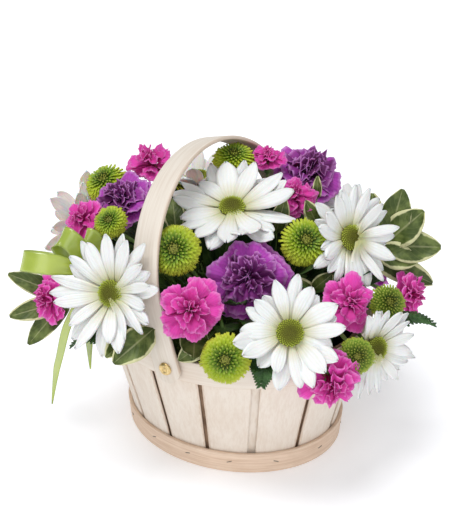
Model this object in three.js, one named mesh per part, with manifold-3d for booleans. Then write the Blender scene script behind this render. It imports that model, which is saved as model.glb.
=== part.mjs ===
// A flower basket arrangement: an oval whitewashed chipwood basket with one bent wood
// handle, a liner and floral foam inside, and a mound of daisies, carnations, button
// chrysanthemums, variegated leaves and fern, with a bow of satin ribbon on a pick.
// Millimetres, +Z up. The origin is the centre of the basket's underside. X runs along
// the oval's long axis and the handle crosses the short one, from -Y to +Y.
import * as THREE from 'three';
import { mergeVertices } from 'three/addons/utils/BufferGeometryUtils.js';
import Module from 'manifold-3d';

const wasm = await Module();
wasm.setup();

// Basket dimensions
const GAP = 0.3;
const BASE_LONG_RADIUS = 80;
const RIM_LONG_RADIUS = 99.4;
const OVAL_AT_BASE = 0.845;
const OVAL_AT_RIM = 0.907;
const BASKET_HEIGHT = 101;
const BASE_HOOP_HEIGHT = 17;
const RIM_HOOP_BOTTOM = 82;
const HOOP_THICKNESS = 2.8;
const HOOP_SEGMENTS = 42;
const STAVE_THICKNESS = 2;
const STAVE_COUNT = 14;
const STAVE_GAP = 2.6;
const WIDE_STAVE_GAP = 5.6;
const WIDE_GAP_AFTER = [1, 8];
const STAVE_TOP = 99;
const INNER_WALL_THICKNESS = 1.2;
const BOARD_THICKNESS = 5;
const LINER_THICKNESS = 1.2;
const LINER_TOP = 85;
const FOAM_TOP = 112;
const FOAM_SHOULDER = 96;
const FOAM_SHOULDER_INSET = 14;
const FOAM_TOP_INSET = 28;
const WELL_INSIDE = 30;
const WELL_OUTSIDE = 130;

// Handle dimensions
const HANDLE_WIDTH = 19.5;
const HANDLE_THICKNESS = 3;
const HANDLE_LEAN = 15.5;
const HANDLE_HEIGHT = 120;
const HANDLE_LEG = 46;
const HANDLE_ARCH_POWER = 1.135;
const HANDLE_END_DROP = 1.5;
const HANDLE_STEPS = 18;
const RIVET_HEIGHT = 93.5;
const RIVET_HEAD_RADIUS = 4.6;
const RIVET_SHANK_RADIUS = 1.6;
const RIVET_TAIL_RADIUS = 3;
const RIVET_TAIL_THICKNESS = 1.2;
const RIVET_SEAT = 2.1;

// Flower dimensions
const STEM_RADIUS = 1.6;
const STEM_SIDES = 4;
const STEM_DEPTH = 26;
const STEM_FOOT_PULL = 0.82;
const HOLE_CLEARANCE = 1.3;
const OVER_RIM_HEIGHT = 128;
const PETAL_THICKNESS = 1.2;
const DISC_RADIUS = 10.6;
const COLLAR_RADIUS = 6.6;
const COLLAR_SIDES = 8;
const RECEPTACLE_RADIUS = 4.2;
const COLLAR_BOTTOM = -5;
const COLLAR_TOP = -1.3;
const DAISY_DEPTH = 9.5;
const CALYX_LENGTH = 9;
const RIBBON_WIDTH = 16;
const RIBBON_THICKNESS = 0.8;
const KNOT_RADIUS = 6.5;
const PICK_RADIUS = 1.1;
const SCRAP_VOLUME = 0.5;
const FINEST_EDGE = 0.02;

// Every bloom: where its head is, as azimuth, reach from the axis and height, where it
// faces, as azimuth and lift, and how far its petals reach from its centre.
const BLOOMS = {
  daisyTop: { kind: 'daisy', at: [-77, 8, 176], face: [-60, 70], radius: 43, cup: 10, petals: 16 },
  daisyRight: { kind: 'daisy', at: [12, 82, 161], face: [-26, 29], radius: 39, cup: 18, petals: 16 },
  daisyLeft: { kind: 'daisy', at: [-110, 107, 144], face: [-91, 25], radius: 42, cup: 18, petals: 16 },
  daisyFront: { kind: 'daisy', at: [-41, 103, 131], face: [-57, 33], radius: 40, cup: 14, petals: 16 },
  daisyLowRight: {
    kind: 'daisy', at: [-8, 117, 102], face: [-28, 12], radius: 35, cup: 14, petals: 16, missing: [6, 7],
  },
  daisyFarLeft: { kind: 'daisy', at: [-173, 117, 137], face: [155, 0], radius: 31, cup: 12, petals: 12 },
  daisyFarRight: { kind: 'daisy', at: [65, 106, 144], face: [37, 75], radius: 36, cup: 10, petals: 12 },
  daisyBehindHandle: { kind: 'daisy', at: [147, 59, 170], face: [-146, 83], radius: 25, cup: 22, petals: 12 },
  daisyBack: { kind: 'daisy', at: [124, 108, 126], face: [120, 22], radius: 37, cup: 12, petals: 12 },
  carnationFront: {
    kind: 'carnation', at: [-51, 51, 144], face: [-60, 41], radius: 29, tiers: 4, columns: 14,
  },
  carnationLeft: {
    kind: 'carnation', at: [-160, 79, 171], face: [-110, 57], radius: 24, tiers: 4, columns: 14,
  },
  carnationTop: {
    kind: 'carnation', at: [77.3, 79, 171], face: [-16, 70], radius: 27, tiers: 4, columns: 14,
  },
  carnationBack: {
    kind: 'carnation', at: [48, 107, 112], face: [44, 14], radius: 24.5, tiers: 4, columns: 14,
  },
  pinkHandle: { kind: 'carnation', at: [-78, 95, 144], face: [-66, 33], radius: 20.5, tiers: 3, columns: 10 },
  pinkRight: { kind: 'carnation', at: [-11, 99, 134], face: [-35, 31], radius: 19, tiers: 3, columns: 10 },
  pinkFarRight: { kind: 'carnation', at: [22, 124, 112], face: [3, 14], radius: 16, tiers: 3, columns: 10 },
  pinkRim: {
    kind: 'carnation', at: [-30, 121, 97], face: [-46, -10], radius: 20.5, tiers: 3, columns: 10, low: true,
  },
  pinkLeft: { kind: 'carnation', at: [-150, 105, 163], face: [-105, 37], radius: 16, tiers: 3, columns: 10 },
  pinkFarLeft: {
    kind: 'carnation', at: [-142, 131, 111], face: [-124, 14], radius: 17, tiers: 3, columns: 10,
  },
  pinkTop: { kind: 'carnation', at: [43, 42, 176], face: [-44, 58], radius: 15.5, tiers: 3, columns: 10 },
  pinkBehind: { kind: 'carnation', at: [94, 54, 188], face: [-60, 80], radius: 12, tiers: 2, columns: 10 },
  pinkUpperLeft: {
    kind: 'carnation', at: [163, 88, 178], face: [-91, 77], radius: 15, tiers: 3, columns: 10,
  },
  pinkBack: { kind: 'carnation', at: [168, 118, 106], face: [168, 10], radius: 16, tiers: 3, columns: 10 },
  buttonHandle: { kind: 'button', at: [-99, 64, 165], face: [-67, 38], radius: 16.5, columns: 12, rows: 6 },
  buttonRight: { kind: 'button', at: [-4, 55, 160], face: [-46, 48], radius: 16, columns: 12, rows: 6 },
  buttonFront: { kind: 'button', at: [-64, 104, 116], face: [-66, 23], radius: 15.5, columns: 12, rows: 6 },
  buttonBehind: { kind: 'button', at: [120.5, 42, 187], face: [-60, 79], radius: 14.5, columns: 10, rows: 6 },
  buttonUpperLeft: {
    kind: 'button', at: [-178, 103, 166], face: [-115, 62], radius: 15, columns: 12, rows: 6,
  },
  buttonLeft: { kind: 'button', at: [-137, 86, 170], face: [-83, 52], radius: 11, columns: 10, rows: 6 },
  buttonFarRight: { kind: 'button', at: [6, 111, 122], face: [-36, 37], radius: 12, columns: 10, rows: 6 },
  buttonRim: { kind: 'button', at: [-19, 118, 108], face: [-55, 28], radius: 11.5, columns: 10, rows: 6 },
  buttonBack: { kind: 'button', at: [152, 88, 146], face: [150, 30], radius: 14, columns: 10, rows: 6 },
};

// The sprays: where each stands in the foam, as azimuth and reach, and its blooms.
const SPRAYS = {
  daisy_stem_top: { entry: [-77, 6], blooms: ['daisyTop'] },
  daisy_spray_right: { entry: [34, 38], blooms: ['daisyRight', 'daisyFarRight'] },
  daisy_spray_left: { entry: [-138, 42], blooms: ['daisyLeft', 'daisyFarLeft'] },
  daisy_spray_front: { entry: [-10, 46], blooms: ['daisyFront', 'daisyLowRight'] },
  daisy_spray_back: { entry: [132, 38], blooms: ['daisyBehindHandle', 'daisyBack'] },
  carnation_front: { entry: [-52, 20], blooms: ['carnationFront'] },
  carnation_left: { entry: [-174, 30], blooms: ['carnationLeft'] },
  carnation_top: { entry: [72, 32], blooms: ['carnationTop'] },
  carnation_back: { entry: [52, 52], blooms: ['carnationBack'] },
  mini_carnation_handle: { entry: [-96, 46], blooms: ['pinkHandle'] },
  mini_carnations_right: { entry: [14, 54], blooms: ['pinkRight', 'pinkFarRight'] },
  mini_carnation_rim: { entry: [-32, 60], blooms: ['pinkRim'] },
  mini_carnations_left: { entry: [-142, 56], blooms: ['pinkLeft', 'pinkFarLeft'] },
  mini_carnations_top: { entry: [55, 14], blooms: ['pinkTop', 'pinkBehind'] },
  mini_carnations_back: { entry: [170, 50], blooms: ['pinkUpperLeft', 'pinkBack'] },
  button_poms_handle: { entry: [-80, 42], blooms: ['buttonHandle', 'buttonFront', 'buttonLeft'] },
  button_poms_right: { entry: [4, 32], blooms: ['buttonRight', 'buttonFarRight'] },
  button_pom_rim: { entry: [-20, 56], blooms: ['buttonRim'] },
  button_poms_back: { entry: [172, 34], blooms: ['buttonBehind', 'buttonUpperLeft', 'buttonBack'] },
};

// Leafy sprigs: where each stands in the foam, its tip, and its leaves, each with its
// root as a part of the way up the stem, its own tip and its half width.
const SPRIGS = {
  pittosporum_right: {
    entry: [20, 58],
    tip: [33, 108, 142],
    leaves: [
      { root: 0.95, tip: [36, 116, 179], halfWidth: 8 },
      { root: 0.93, tip: [32, 130, 166], halfWidth: 8.5 },
      { root: 0.86, tip: [30, 143, 140], halfWidth: 8.5 },
      { root: 0.79, tip: [28, 126, 130], halfWidth: 7 },
      { root: 0.65, tip: [31.5, 140, 109], halfWidth: 7 },
      { root: 0.72, tip: [42, 98, 172], halfWidth: 7.5 },
      { root: 0.35, tip: [24, 70, 140], halfWidth: 7 },
    ],
  },
  pittosporum_left: {
    entry: [-168, 58],
    tip: [-150, 120, 98],
    leaves: [
      { root: 0.97, tip: [-152, 160, 117], halfWidth: 7.5 },
      { root: 1, tip: [-146, 159, 92], halfWidth: 8 },
      { root: 0.9, tip: [-143, 147, 73], halfWidth: 8 },
      { root: 0.85, tip: [-156, 150, 104], halfWidth: 7.5 },
      { root: 0.6, tip: [-172, 126, 98], halfWidth: 8 },
      { root: 0.3, stalk: [176, 74, 115], tip: [178, 118, 110], halfWidth: 8 },
    ],
  },
  pittosporum_back: {
    entry: [104, 50],
    tip: [106, 76, 122],
    leaves: [
      { root: 1, tip: [109, 118, 100], halfWidth: 9 },
      { root: 0.9, tip: [90, 66, 142], halfWidth: 8 },
      { root: 0.8, tip: [112, 76, 146], halfWidth: 8 },
      { root: 0.55, stalk: [79, 76, 113], tip: [77, 118, 100], halfWidth: 9 },
      { root: 0.5, stalk: [74, 72, 114], tip: [66, 112, 112], halfWidth: 8 },
      { root: 0.5, stalk: [138, 72, 114], tip: [142, 116, 100], halfWidth: 9 },
      { root: 0.45, stalk: [146, 66, 115], tip: [156, 104, 122], halfWidth: 8 },
    ],
  },
  pittosporum_front: {
    entry: [-113, 52],
    tip: [-110, 76, 113],
    leaves: [
      { root: 0.95, tip: [-103, 124, 109], halfWidth: 8 },
      { root: 0.5, stalk: [-82, 72, 113], tip: [-76, 102, 112], halfWidth: 7 },
    ],
  },
};

// Fern fronds: each stands in the foam and its leafy part runs from its joint to its tip.
const FERNS = {
  fern_left: { entry: [-122, 58], joint: [-115, 100, 114], tip: [-119, 127, 101] },
  fern_front: { entry: [-46, 58], joint: [-48, 96, 112], tip: [-54, 122, 92] },
  fern_right: { entry: [3, 62], joint: [10, 112, 107], tip: [13, 142, 102] },
};

// The bow: its knot, then loops and tails as points, each with the direction that the
// ribbon's width takes there.
const KNOT = [-126, 108, 144];
const PICK_ENTRY = [-134, 54];
const LOOPS = [
  {
    points: [[-128, 122, 152], [-131, 138, 152], [-136, 150, 147], [-136, 135, 147], [-132, 117, 146]],
    width: [0, 0, 1],
  },
  {
    points: [[-131, 106, 156], [-133, 113, 172], [-130, 121, 171], [-129, 124, 163], [-127, 115, 153]],
    width: [0.68, 0.38, -0.5],
  },
  {
    points: [[-130, 98, 156], [-131, 100, 171], [-128, 106, 169], [-127, 109, 158]],
    width: [0.83, 0.47, -0.2],
  },
];
const TAILS = [
  {
    points: [[-125, 116, 126], [-126, 126, 104], [-126, 132, 80], [-126, 140, 54]],
    width: [0.86, -0.5, 0],
  },
  {
    points: [[-128, 108, 124], [-128, 110, 96], [-128, 112, 75]],
    width: [0.9, -0.44, 0],
  },
];

const PAINTED_WOOD = 0xe4d6c6;
const BARE_WOOD = 0xdec1a5;
const BRASS = 0xcf9f4a;
const LINER_GREEN = 0x3d4a35;
const FOAM_GREEN = 0x3f5b3a;
const RIBBON_LIME = 0xb4cc5c;
const PETAL_WHITE = 0xf2f0ea;
const LEAF_GREEN = 0x566b3a;
const FERN_GREEN = 0x1f4a24;
const SPRAY_COLOURS = {
  daisy: 0x8f9a2c,
  carnation: 0x7a2ea0,
  mini: 0xd0349a,
  button: 0x9cb52e,
};

const group = new THREE.Group();

function addPiece(name, solid, colour, roughness, metalness = 0) {
  const mesh = new THREE.Mesh(
    toGeometry(solid),
    new THREE.MeshStandardMaterial({ color: colour, roughness, metalness }),
  );
  mesh.name = name;
  group.add(mesh);
}

// Solids from geometry, and back

function toSolid(geometry) {
  const bare = geometry.clone();
  bare.deleteAttribute('normal');
  bare.deleteAttribute('uv');
  const merged = mergeVertices(bare, 1e-4);
  const make = (indices) => new wasm.Manifold(new wasm.Mesh({
    numProp: 3,
    vertProperties: merged.attributes.position.array,
    triVerts: indices,
  }));
  const indices = dropFlatTriangles(merged.index.array);
  const solid = make(indices);
  if (solid.volume() > 0) return solid;
  const flipped = indices.slice();
  for (let i = 0; i < flipped.length; i += 3) {
    flipped[i] = indices[i + 1];
    flipped[i + 1] = indices[i];
  }
  return make(flipped);
}

function dropFlatTriangles(indices) {
  const kept = [];
  for (let i = 0; i < indices.length; i += 3) {
    const [a, b, c] = indices.slice(i, i + 3);
    if (a !== b && b !== c && c !== a) kept.push(a, b, c);
  }
  return new Uint32Array(kept);
}

function toGeometry(solid) {
  const mesh = solid.getMesh();
  const geometry = new THREE.BufferGeometry();
  geometry.setAttribute('position', new THREE.BufferAttribute(mesh.vertProperties.slice(), 3));
  geometry.setIndex(new THREE.BufferAttribute(mesh.triVerts.slice(), 1));
  geometry.computeVertexNormals();
  return geometry;
}

// One body from overlapping solids, without the scraps, sealed slivers and needle-thin
// triangles that fusing leaves
function fuse(solids) {
  const bodies = wasm.Manifold.union(solids).simplify(FINEST_EDGE).decompose();
  return wasm.Manifold.compose(bodies.filter((body) => Math.abs(body.volume()) > SCRAP_VOLUME));
}

// Places and directions

const rad = THREE.MathUtils.degToRad;
const mix = THREE.MathUtils.lerp;
const vec = (x, y, z) => new THREE.Vector3(x, y, z);

function polar(azimuth, reach, height) {
  return vec(reach * Math.cos(rad(azimuth)), reach * Math.sin(rad(azimuth)), height);
}

function aim(azimuth, lift) {
  return polar(azimuth, Math.cos(rad(lift)), Math.sin(rad(lift)));
}

// A frame at a point whose +Z looks along a direction and whose +X is level
function frameAt(point, facing) {
  const across = vec(-facing.y, facing.x, 0).normalize();
  const up = facing.clone().cross(across);
  return new THREE.Matrix4().makeBasis(across, up, facing).setPosition(point);
}

function seeded(seed) {
  let state = seed;
  return () => {
    state = (state * 1664525 + 1013904223) % 4294967296;
    return state / 4294967296;
  };
}

function latheOf(profile, segments, start = 0) {
  const points = profile.map(([radius, height]) => new THREE.Vector2(radius, height));
  const geometry = new THREE.LatheGeometry(points, segments, start);
  geometry.rotateX(Math.PI / 2);
  return geometry;
}

// The basket

// A profile turned round Z, then drawn into the oval
function ovalLathe(profile, segments) {
  const geometry = latheOf(profile, segments, Math.PI / segments);
  const position = geometry.attributes.position;
  for (let i = 0; i < position.count; i += 1) {
    const rise = position.getZ(i) / BASKET_HEIGHT;
    position.setY(i, position.getY(i) * mix(OVAL_AT_BASE, OVAL_AT_RIM, rise));
  }
  return toSolid(geometry);
}

const STAVE_SEGMENTS = STAVE_COUNT * 2;
const WALL_BENDS = [0, BASE_HOOP_HEIGHT, RIM_HOOP_BOTTOM, BASKET_HEIGHT];
const WALL_RADII = [
  BASE_LONG_RADIUS - HOOP_THICKNESS - GAP,
  BASE_LONG_RADIUS - HOOP_THICKNESS - GAP + 1.5,
  RIM_LONG_RADIUS - HOOP_THICKNESS - GAP - 2.6,
  RIM_LONG_RADIUS - HOOP_THICKNESS - GAP,
];

// The long radius of the staves' outer face at a height
function wallRadius(height) {
  const i = WALL_BENDS.findIndex((bend, k) => k > 0 && height <= bend);
  const part = (height - WALL_BENDS[i - 1]) / (WALL_BENDS[i] - WALL_BENDS[i - 1]);
  return mix(WALL_RADII[i - 1], WALL_RADII[i], part);
}

// A ring that follows the wall between two heights, from one depth behind the staves'
// outer face to another
function wallRing(low, high, outside, inside, segments) {
  const bends = WALL_BENDS.filter((bend) => bend > low && bend < high);
  const heights = [low, ...bends, high];
  const outer = heights.map((height) => [wallRadius(height) - outside, height]);
  const inner = heights.map((height) => [wallRadius(height) - inside, height]).reverse();
  return ovalLathe([...outer, ...inner, outer[0]], segments);
}

function hoop(low, high) {
  return wallRing(low, high, -GAP - HOOP_THICKNESS, -GAP, HOOP_SEGMENTS);
}

// The staves: one ring, cut by a wedge for each, which leaves a gap of one width all the way
// up; the gap after a stave is narrow, but for a wide one at the front and one at the back
function makeStaves() {
  const ring = wallRing(0, STAVE_TOP, 0, STAVE_THICKNESS, STAVE_SEGMENTS);
  const half = Math.PI / STAVE_COUNT;
  const gapAfter = (i) => (WIDE_GAP_AFTER.includes(i) ? WIDE_STAVE_GAP : STAVE_GAP);
  const corner = (angle, aside, reach) => new THREE.Vector2(
    reach * Math.cos(angle) + aside * Math.sin(angle),
    reach * Math.sin(angle) - aside * Math.cos(angle),
  );
  const staves = [];
  for (let i = 0; i < STAVE_COUNT; i += 1) {
    const low = (i * 2 - 1) * half - Math.PI / 2;
    const high = (i * 2 + 1) * half - Math.PI / 2;
    const before = -gapAfter((i + STAVE_COUNT - 1) % STAVE_COUNT) / 2;
    const after = gapAfter(i) / 2;
    const shape = new THREE.Shape([
      corner(low, before, WELL_INSIDE),
      corner(low, before, WELL_OUTSIDE),
      corner(high, after, WELL_OUTSIDE),
      corner(high, after, WELL_INSIDE),
    ]);
    const wedge = new THREE.ExtrudeGeometry(shape, { depth: WELL_OUTSIDE, bevelEnabled: false });
    wedge.translate(0, 0, -BOARD_THICKNESS);
    staves.push(ring.intersect(toSolid(wedge)));
  }
  return staves;
}

// The handle

const LEAN = rad(HANDLE_LEAN);
const HANDLE_INNER_REACH = RIM_LONG_RADIUS * OVAL_AT_RIM + GAP;
const HANDLE_REACH = HANDLE_INNER_REACH + HANDLE_THICKNESS / 2;
const ALONG_LEAN = vec(-Math.sin(LEAN), 0, Math.cos(LEAN));
const ACROSS_STRIP = vec(Math.cos(LEAN), 0, Math.sin(LEAN));

// From the handle's own plane, with the reach across the basket, the rise along the
// leaning arch and the side along the strip's width, to the basket's frame
function handlePoint(reach, rise, side) {
  return vec(0, reach, RIVET_HEIGHT)
    .addScaledVector(ALONG_LEAN, rise)
    .addScaledVector(ACROSS_STRIP, side);
}

// The middle of the strip: straight legs, then a rounded arch that narrows a little upwards
function handleLine() {
  const line = [new THREE.Vector2(-HANDLE_REACH, 0)];
  for (let i = 0; i <= HANDLE_STEPS; i += 1) {
    const turn = Math.PI * (1 - i / HANDLE_STEPS);
    line.push(new THREE.Vector2(
      HANDLE_REACH * Math.cos(turn),
      HANDLE_LEG + (HANDLE_HEIGHT - HANDLE_LEG) * Math.sin(turn) ** HANDLE_ARCH_POWER,
    ));
  }
  line.push(new THREE.Vector2(HANDLE_REACH, 0));
  return line;
}

// A flat strip whose edge follows a line, centred on its width
function strip(line, thickness, width) {
  const side = (sign) => line.map((point, i) => {
    const before = line[Math.max(i - 1, 0)];
    const after = line[Math.min(i + 1, line.length - 1)];
    const along = after.clone().sub(before).normalize();
    return new THREE.Vector2(
      point.x - (along.y * sign * thickness) / 2,
      point.y + (along.x * sign * thickness) / 2,
    );
  });
  const shape = new THREE.Shape([...side(1), ...side(-1).reverse()]);
  const geometry = new THREE.ExtrudeGeometry(shape, { depth: width, bevelEnabled: false, steps: 1 });
  geometry.translate(0, 0, -width / 2);
  return geometry;
}

// A round bar along Y from one reach to another at the rivets' height
function barAcross(radius, from, to, sides) {
  const geometry = new THREE.CylinderGeometry(radius, radius, to - from, sides);
  geometry.translate(0, (from + to) / 2, RIVET_HEIGHT);
  return geometry;
}

function makeHandle() {
  const geometry = strip(handleLine(), HANDLE_THICKNESS, HANDLE_WIDTH);
  geometry.applyMatrix4(
    new THREE.Matrix4().makeBasis(vec(0, 1, 0), ALONG_LEAN, ACROSS_STRIP).setPosition(0, 0, RIVET_HEIGHT),
  );
  const ends = [-1, 1].map((sign) => {
    const middle = sign * HANDLE_REACH;
    const half = HANDLE_THICKNESS / 2;
    const end = barAcross(HANDLE_WIDTH / 2, middle - half, middle + half, 16);
    return toSolid(end.translate(0, 0, -HANDLE_END_DROP));
  });
  return fuse([toSolid(geometry), ...ends]);
}

// A rivet with a domed head outside the handle and a clenched end inside the wall
function makeRivet(sign) {
  const head = HANDLE_INNER_REACH + HANDLE_THICKNESS + GAP;
  const wallInside = wallRadius(RIVET_HEIGHT) - STAVE_THICKNESS - GAP - INNER_WALL_THICKNESS;
  const tail = OVAL_AT_RIM * wallInside - RIVET_SEAT;
  const profile = [
    [0, tail - RIVET_TAIL_THICKNESS], [RIVET_TAIL_RADIUS, tail - RIVET_TAIL_THICKNESS],
    [RIVET_TAIL_RADIUS, tail], [RIVET_SHANK_RADIUS, tail],
    [RIVET_SHANK_RADIUS, head], [RIVET_HEAD_RADIUS, head], [RIVET_HEAD_RADIUS, head + 0.6],
    [RIVET_HEAD_RADIUS * 0.7, head + 1.9], [0, head + 2.5],
  ];
  const geometry = latheOf(profile, 10);
  geometry.rotateX((sign * -Math.PI) / 2);
  geometry.translate(0, 0, RIVET_HEIGHT);
  return toSolid(geometry);
}

// Stems

const foamEntry = (azimuth, reach) => polar(azimuth, reach, FOAM_TOP);

// The hole's foot lies a little nearer the axis than its mouth
function foamFoot(entry) {
  return vec(entry.x * STEM_FOOT_PULL, entry.y * STEM_FOOT_PULL, entry.z - STEM_DEPTH);
}

const stemHoles = [];

function drillHole(entry) {
  const rise = entry.clone().sub(foamFoot(entry)).normalize();
  const low = foamFoot(entry).addScaledVector(rise, -1);
  const high = entry.clone().addScaledVector(rise, 6);
  const hole = new THREE.CylinderGeometry(
    STEM_RADIUS + HOLE_CLEARANCE,
    STEM_RADIUS + HOLE_CLEARANCE,
    low.distanceTo(high),
    STEM_SIDES,
  );
  hole.rotateX(Math.PI / 2);
  hole.applyMatrix4(frameAt(low.lerp(high, 0.5), rise));
  stemHoles.push(toSolid(hole));
}

// The bow of a stem from the mouth of its hole to a point that it meets along a
// direction; a stem that ends low first climbs well over the rim, or just over it
function stemCurve(entry, end, arriving, low) {
  const rise = entry.clone().sub(foamFoot(entry)).normalize();
  const mouth = entry.clone().addScaledVector(rise, 4);
  const span = mouth.distanceTo(end);
  const climb = low ? 5 : Math.max(0, OVER_RIM_HEIGHT - end.z) * 0.5;
  return new THREE.CubicBezierCurve3(
    mouth,
    mouth.clone().addScaledVector(rise, low ? 6 : span * 0.35 + climb * 0.3),
    end.clone().addScaledVector(arriving, -span * 0.3).add(vec(0, 0, climb)),
    end,
  );
}

// A stem with few sides; the first of a spray also fills its hole in the foam
function stemTube(entry, end, arriving, { radius = STEM_RADIUS, steps = 6, rooted = true, low = false }) {
  const curve = stemCurve(entry, end, arriving, low);
  const path = new THREE.CurvePath();
  if (rooted) path.add(new THREE.LineCurve3(foamFoot(entry), curve.v0));
  path.add(curve);
  const section = new THREE.Shape();
  for (let i = 0; i < STEM_SIDES; i += 1) {
    const turn = (i * 2 * Math.PI) / STEM_SIDES;
    const corner = [radius * Math.cos(turn), radius * Math.sin(turn)];
    if (i === 0) section.moveTo(...corner);
    else section.lineTo(...corner);
  }
  return toSolid(new THREE.ExtrudeGeometry(section, { extrudePath: path, steps, bevelEnabled: false }));
}

// How far the back of the calyx lies behind a bloom's centre
function backDepth({ kind, radius }) {
  if (kind === 'daisy') return DAISY_DEPTH;
  if (kind === 'button') return radius * 0.45;
  return radius * 0.42 + CALYX_LENGTH;
}

// Blooms

// What a petal has to clear, as balls: every other bloom's head and the handle's strip
function obstaclesFor(key) {
  const balls = [];
  Object.entries(BLOOMS).forEach(([other, { kind, at, face, radius }]) => {
    if (other === key) return;
    const centre = polar(...at);
    if (kind === 'daisy') balls.push({ centre, radius: DISC_RADIUS + 2 });
    if (kind === 'button') balls.push({ centre, radius: radius + 3 });
    if (kind === 'carnation') {
      centre.addScaledVector(aim(...face), radius * 0.05);
      balls.push({ centre, radius: radius + 3 });
    }
  });
  handleLine().forEach((point) => {
    [-5, 5].forEach((side) => balls.push({ centre: handlePoint(point.x, point.y, side), radius: 10 }));
  });
  return balls;
}

// How far a point moves along a direction, either way, to leave every ball
function clearance(point, direction, balls) {
  let shift = 0;
  balls.forEach(({ centre, radius }) => {
    const offset = point.clone().addScaledVector(direction, shift).sub(centre);
    const along = offset.dot(direction);
    const inside = radius * radius - offset.lengthSq();
    if (inside <= 0) return;
    const root = Math.sqrt(inside + along * along);
    shift += along > 0 ? root - along : -root - along;
  });
  return shift;
}

// A blade is a four-sided cone drawn out along stations: its ring points become the left
// edge, the top, the right edge and the underside. The shape gives each station's middle,
// across and normal directions, half width, thickness and crown.
function blade(stations, shape) {
  const rings = stations.length - 1;
  const geometry = new THREE.ConeGeometry(1, 1, 4, rings);
  const position = geometry.attributes.position;
  for (let i = 0; i < position.count; i += 1) {
    const size = 0.5 - position.getY(i);
    const station = stations[rings - Math.round(size * rings)];
    const side = size > 1e-6 ? position.getX(i) / size : 0;
    const over = size > 1e-6 ? position.getZ(i) / size : 0;
    const at = shape(station, side);
    const point = at.middle.clone()
      .addScaledVector(at.across, side * at.halfWidth)
      .addScaledVector(at.normal, (over * at.thickness) / 2 + (1 - side * side) * at.crown);
    position.setXYZ(i, point.x, point.y, point.z);
  }
  return toSolid(geometry);
}

const PETAL_STATIONS = [0, 0.42, 0.84, 1];
const SHORT_PETAL_STATIONS = [0, 0.62, 1];
const UPPER_LAYER = -2;
const LOWER_LAYER = -4;

// One ray petal: it rises from under the disc, cups, and bends clear of what it meets
function petal(bloom, frame, turn, upper, random, balls) {
  const facing = aim(...bloom.face);
  const stations = bloom.petals > 12 ? PETAL_STATIONS : SHORT_PETAL_STATIONS;
  const reach = bloom.radius * (0.93 + 0.07 * random()) - (upper ? 2 : 0);
  const cup = Math.tan(rad(bloom.cup + (upper ? 4 : 0) + 3 * (random() - 0.5)));
  const outward = vec(Math.cos(turn), Math.sin(turn), 0).transformDirection(frame);
  const across = vec(-Math.sin(turn), Math.cos(turn), 0).transformDirection(frame);
  const twist = rad(10 * (random() - 0.5));
  const widest = bloom.petals > 12 ? 5.6 : 6.6;
  let carried = 0;
  const middles = stations.map((part) => {
    const radius = mix(COLLAR_RADIUS - 1.4, reach, part);
    const height = (upper ? UPPER_LAYER : LOWER_LAYER) + cup * Math.max(0, radius - 10) * (1 - 0.25 * part);
    const middle = vec(radius * Math.cos(turn), radius * Math.sin(turn), height).applyMatrix4(frame);
    let own = part > 0 ? clearance(middle, facing, balls) : 0;
    if (part === stations[1]) {
      own = THREE.MathUtils.clamp(own, (COLLAR_RADIUS - radius) * 0.6, (radius - DISC_RADIUS) * 0.17);
    }
    carried = Math.abs(own) > Math.abs(carried * 0.7) ? own : carried * 0.7;
    return middle.addScaledVector(facing, carried);
  });
  return blade(stations, (part) => ({
    middle: middles[stations.indexOf(part)],
    across: across.clone().applyAxisAngle(outward, twist * part),
    normal: facing,
    halfWidth: widest * Math.sin(Math.PI * (0.06 + part * 0.68)),
    thickness: PETAL_THICKNESS * (1 - 0.2 * part),
    crown: part === 0 ? 0 : 0.7,
  }));
}

// The white ray petals of a daisy, in two layers on the collar that its head grips
function daisyPetals(key) {
  const bloom = BLOOMS[key];
  const frame = frameAt(polar(...bloom.at), aim(...bloom.face));
  const balls = obstaclesFor(key);
  const random = seeded(Object.keys(BLOOMS).indexOf(key) * 977 + 13);
  const bore = (RECEPTACLE_RADIUS + GAP) / Math.cos(Math.PI / COLLAR_SIDES);
  const collar = latheOf(
    [
      [bore, COLLAR_BOTTOM], [COLLAR_RADIUS, COLLAR_BOTTOM], [COLLAR_RADIUS, COLLAR_TOP],
      [bore, COLLAR_TOP], [bore, COLLAR_BOTTOM],
    ],
    COLLAR_SIDES,
  );
  const parts = [toSolid(collar.applyMatrix4(frame))];
  for (let i = 0; i < bloom.petals; i += 1) {
    if (bloom.missing?.includes(i)) continue;
    const turn = ((i + 0.25 * (random() - 0.5)) * 2 * Math.PI) / bloom.petals;
    parts.push(petal(bloom, frame, turn, i % 2 === 0, random, balls));
  }
  return fuse(parts);
}

// Turns each ring of a lathe or ball half a step past the one before, so that raised
// points stand between those of the next ring
function staggerRings(geometry, ringOf, columns) {
  const position = geometry.attributes.position;
  for (let i = 0; i < position.count; i += 1) {
    const turn = (ringOf(i) * Math.PI) / columns;
    const x = position.getX(i);
    const y = position.getY(i);
    position.setX(i, x * Math.cos(turn) - y * Math.sin(turn));
    position.setY(i, x * Math.sin(turn) + y * Math.cos(turn));
  }
}

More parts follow.
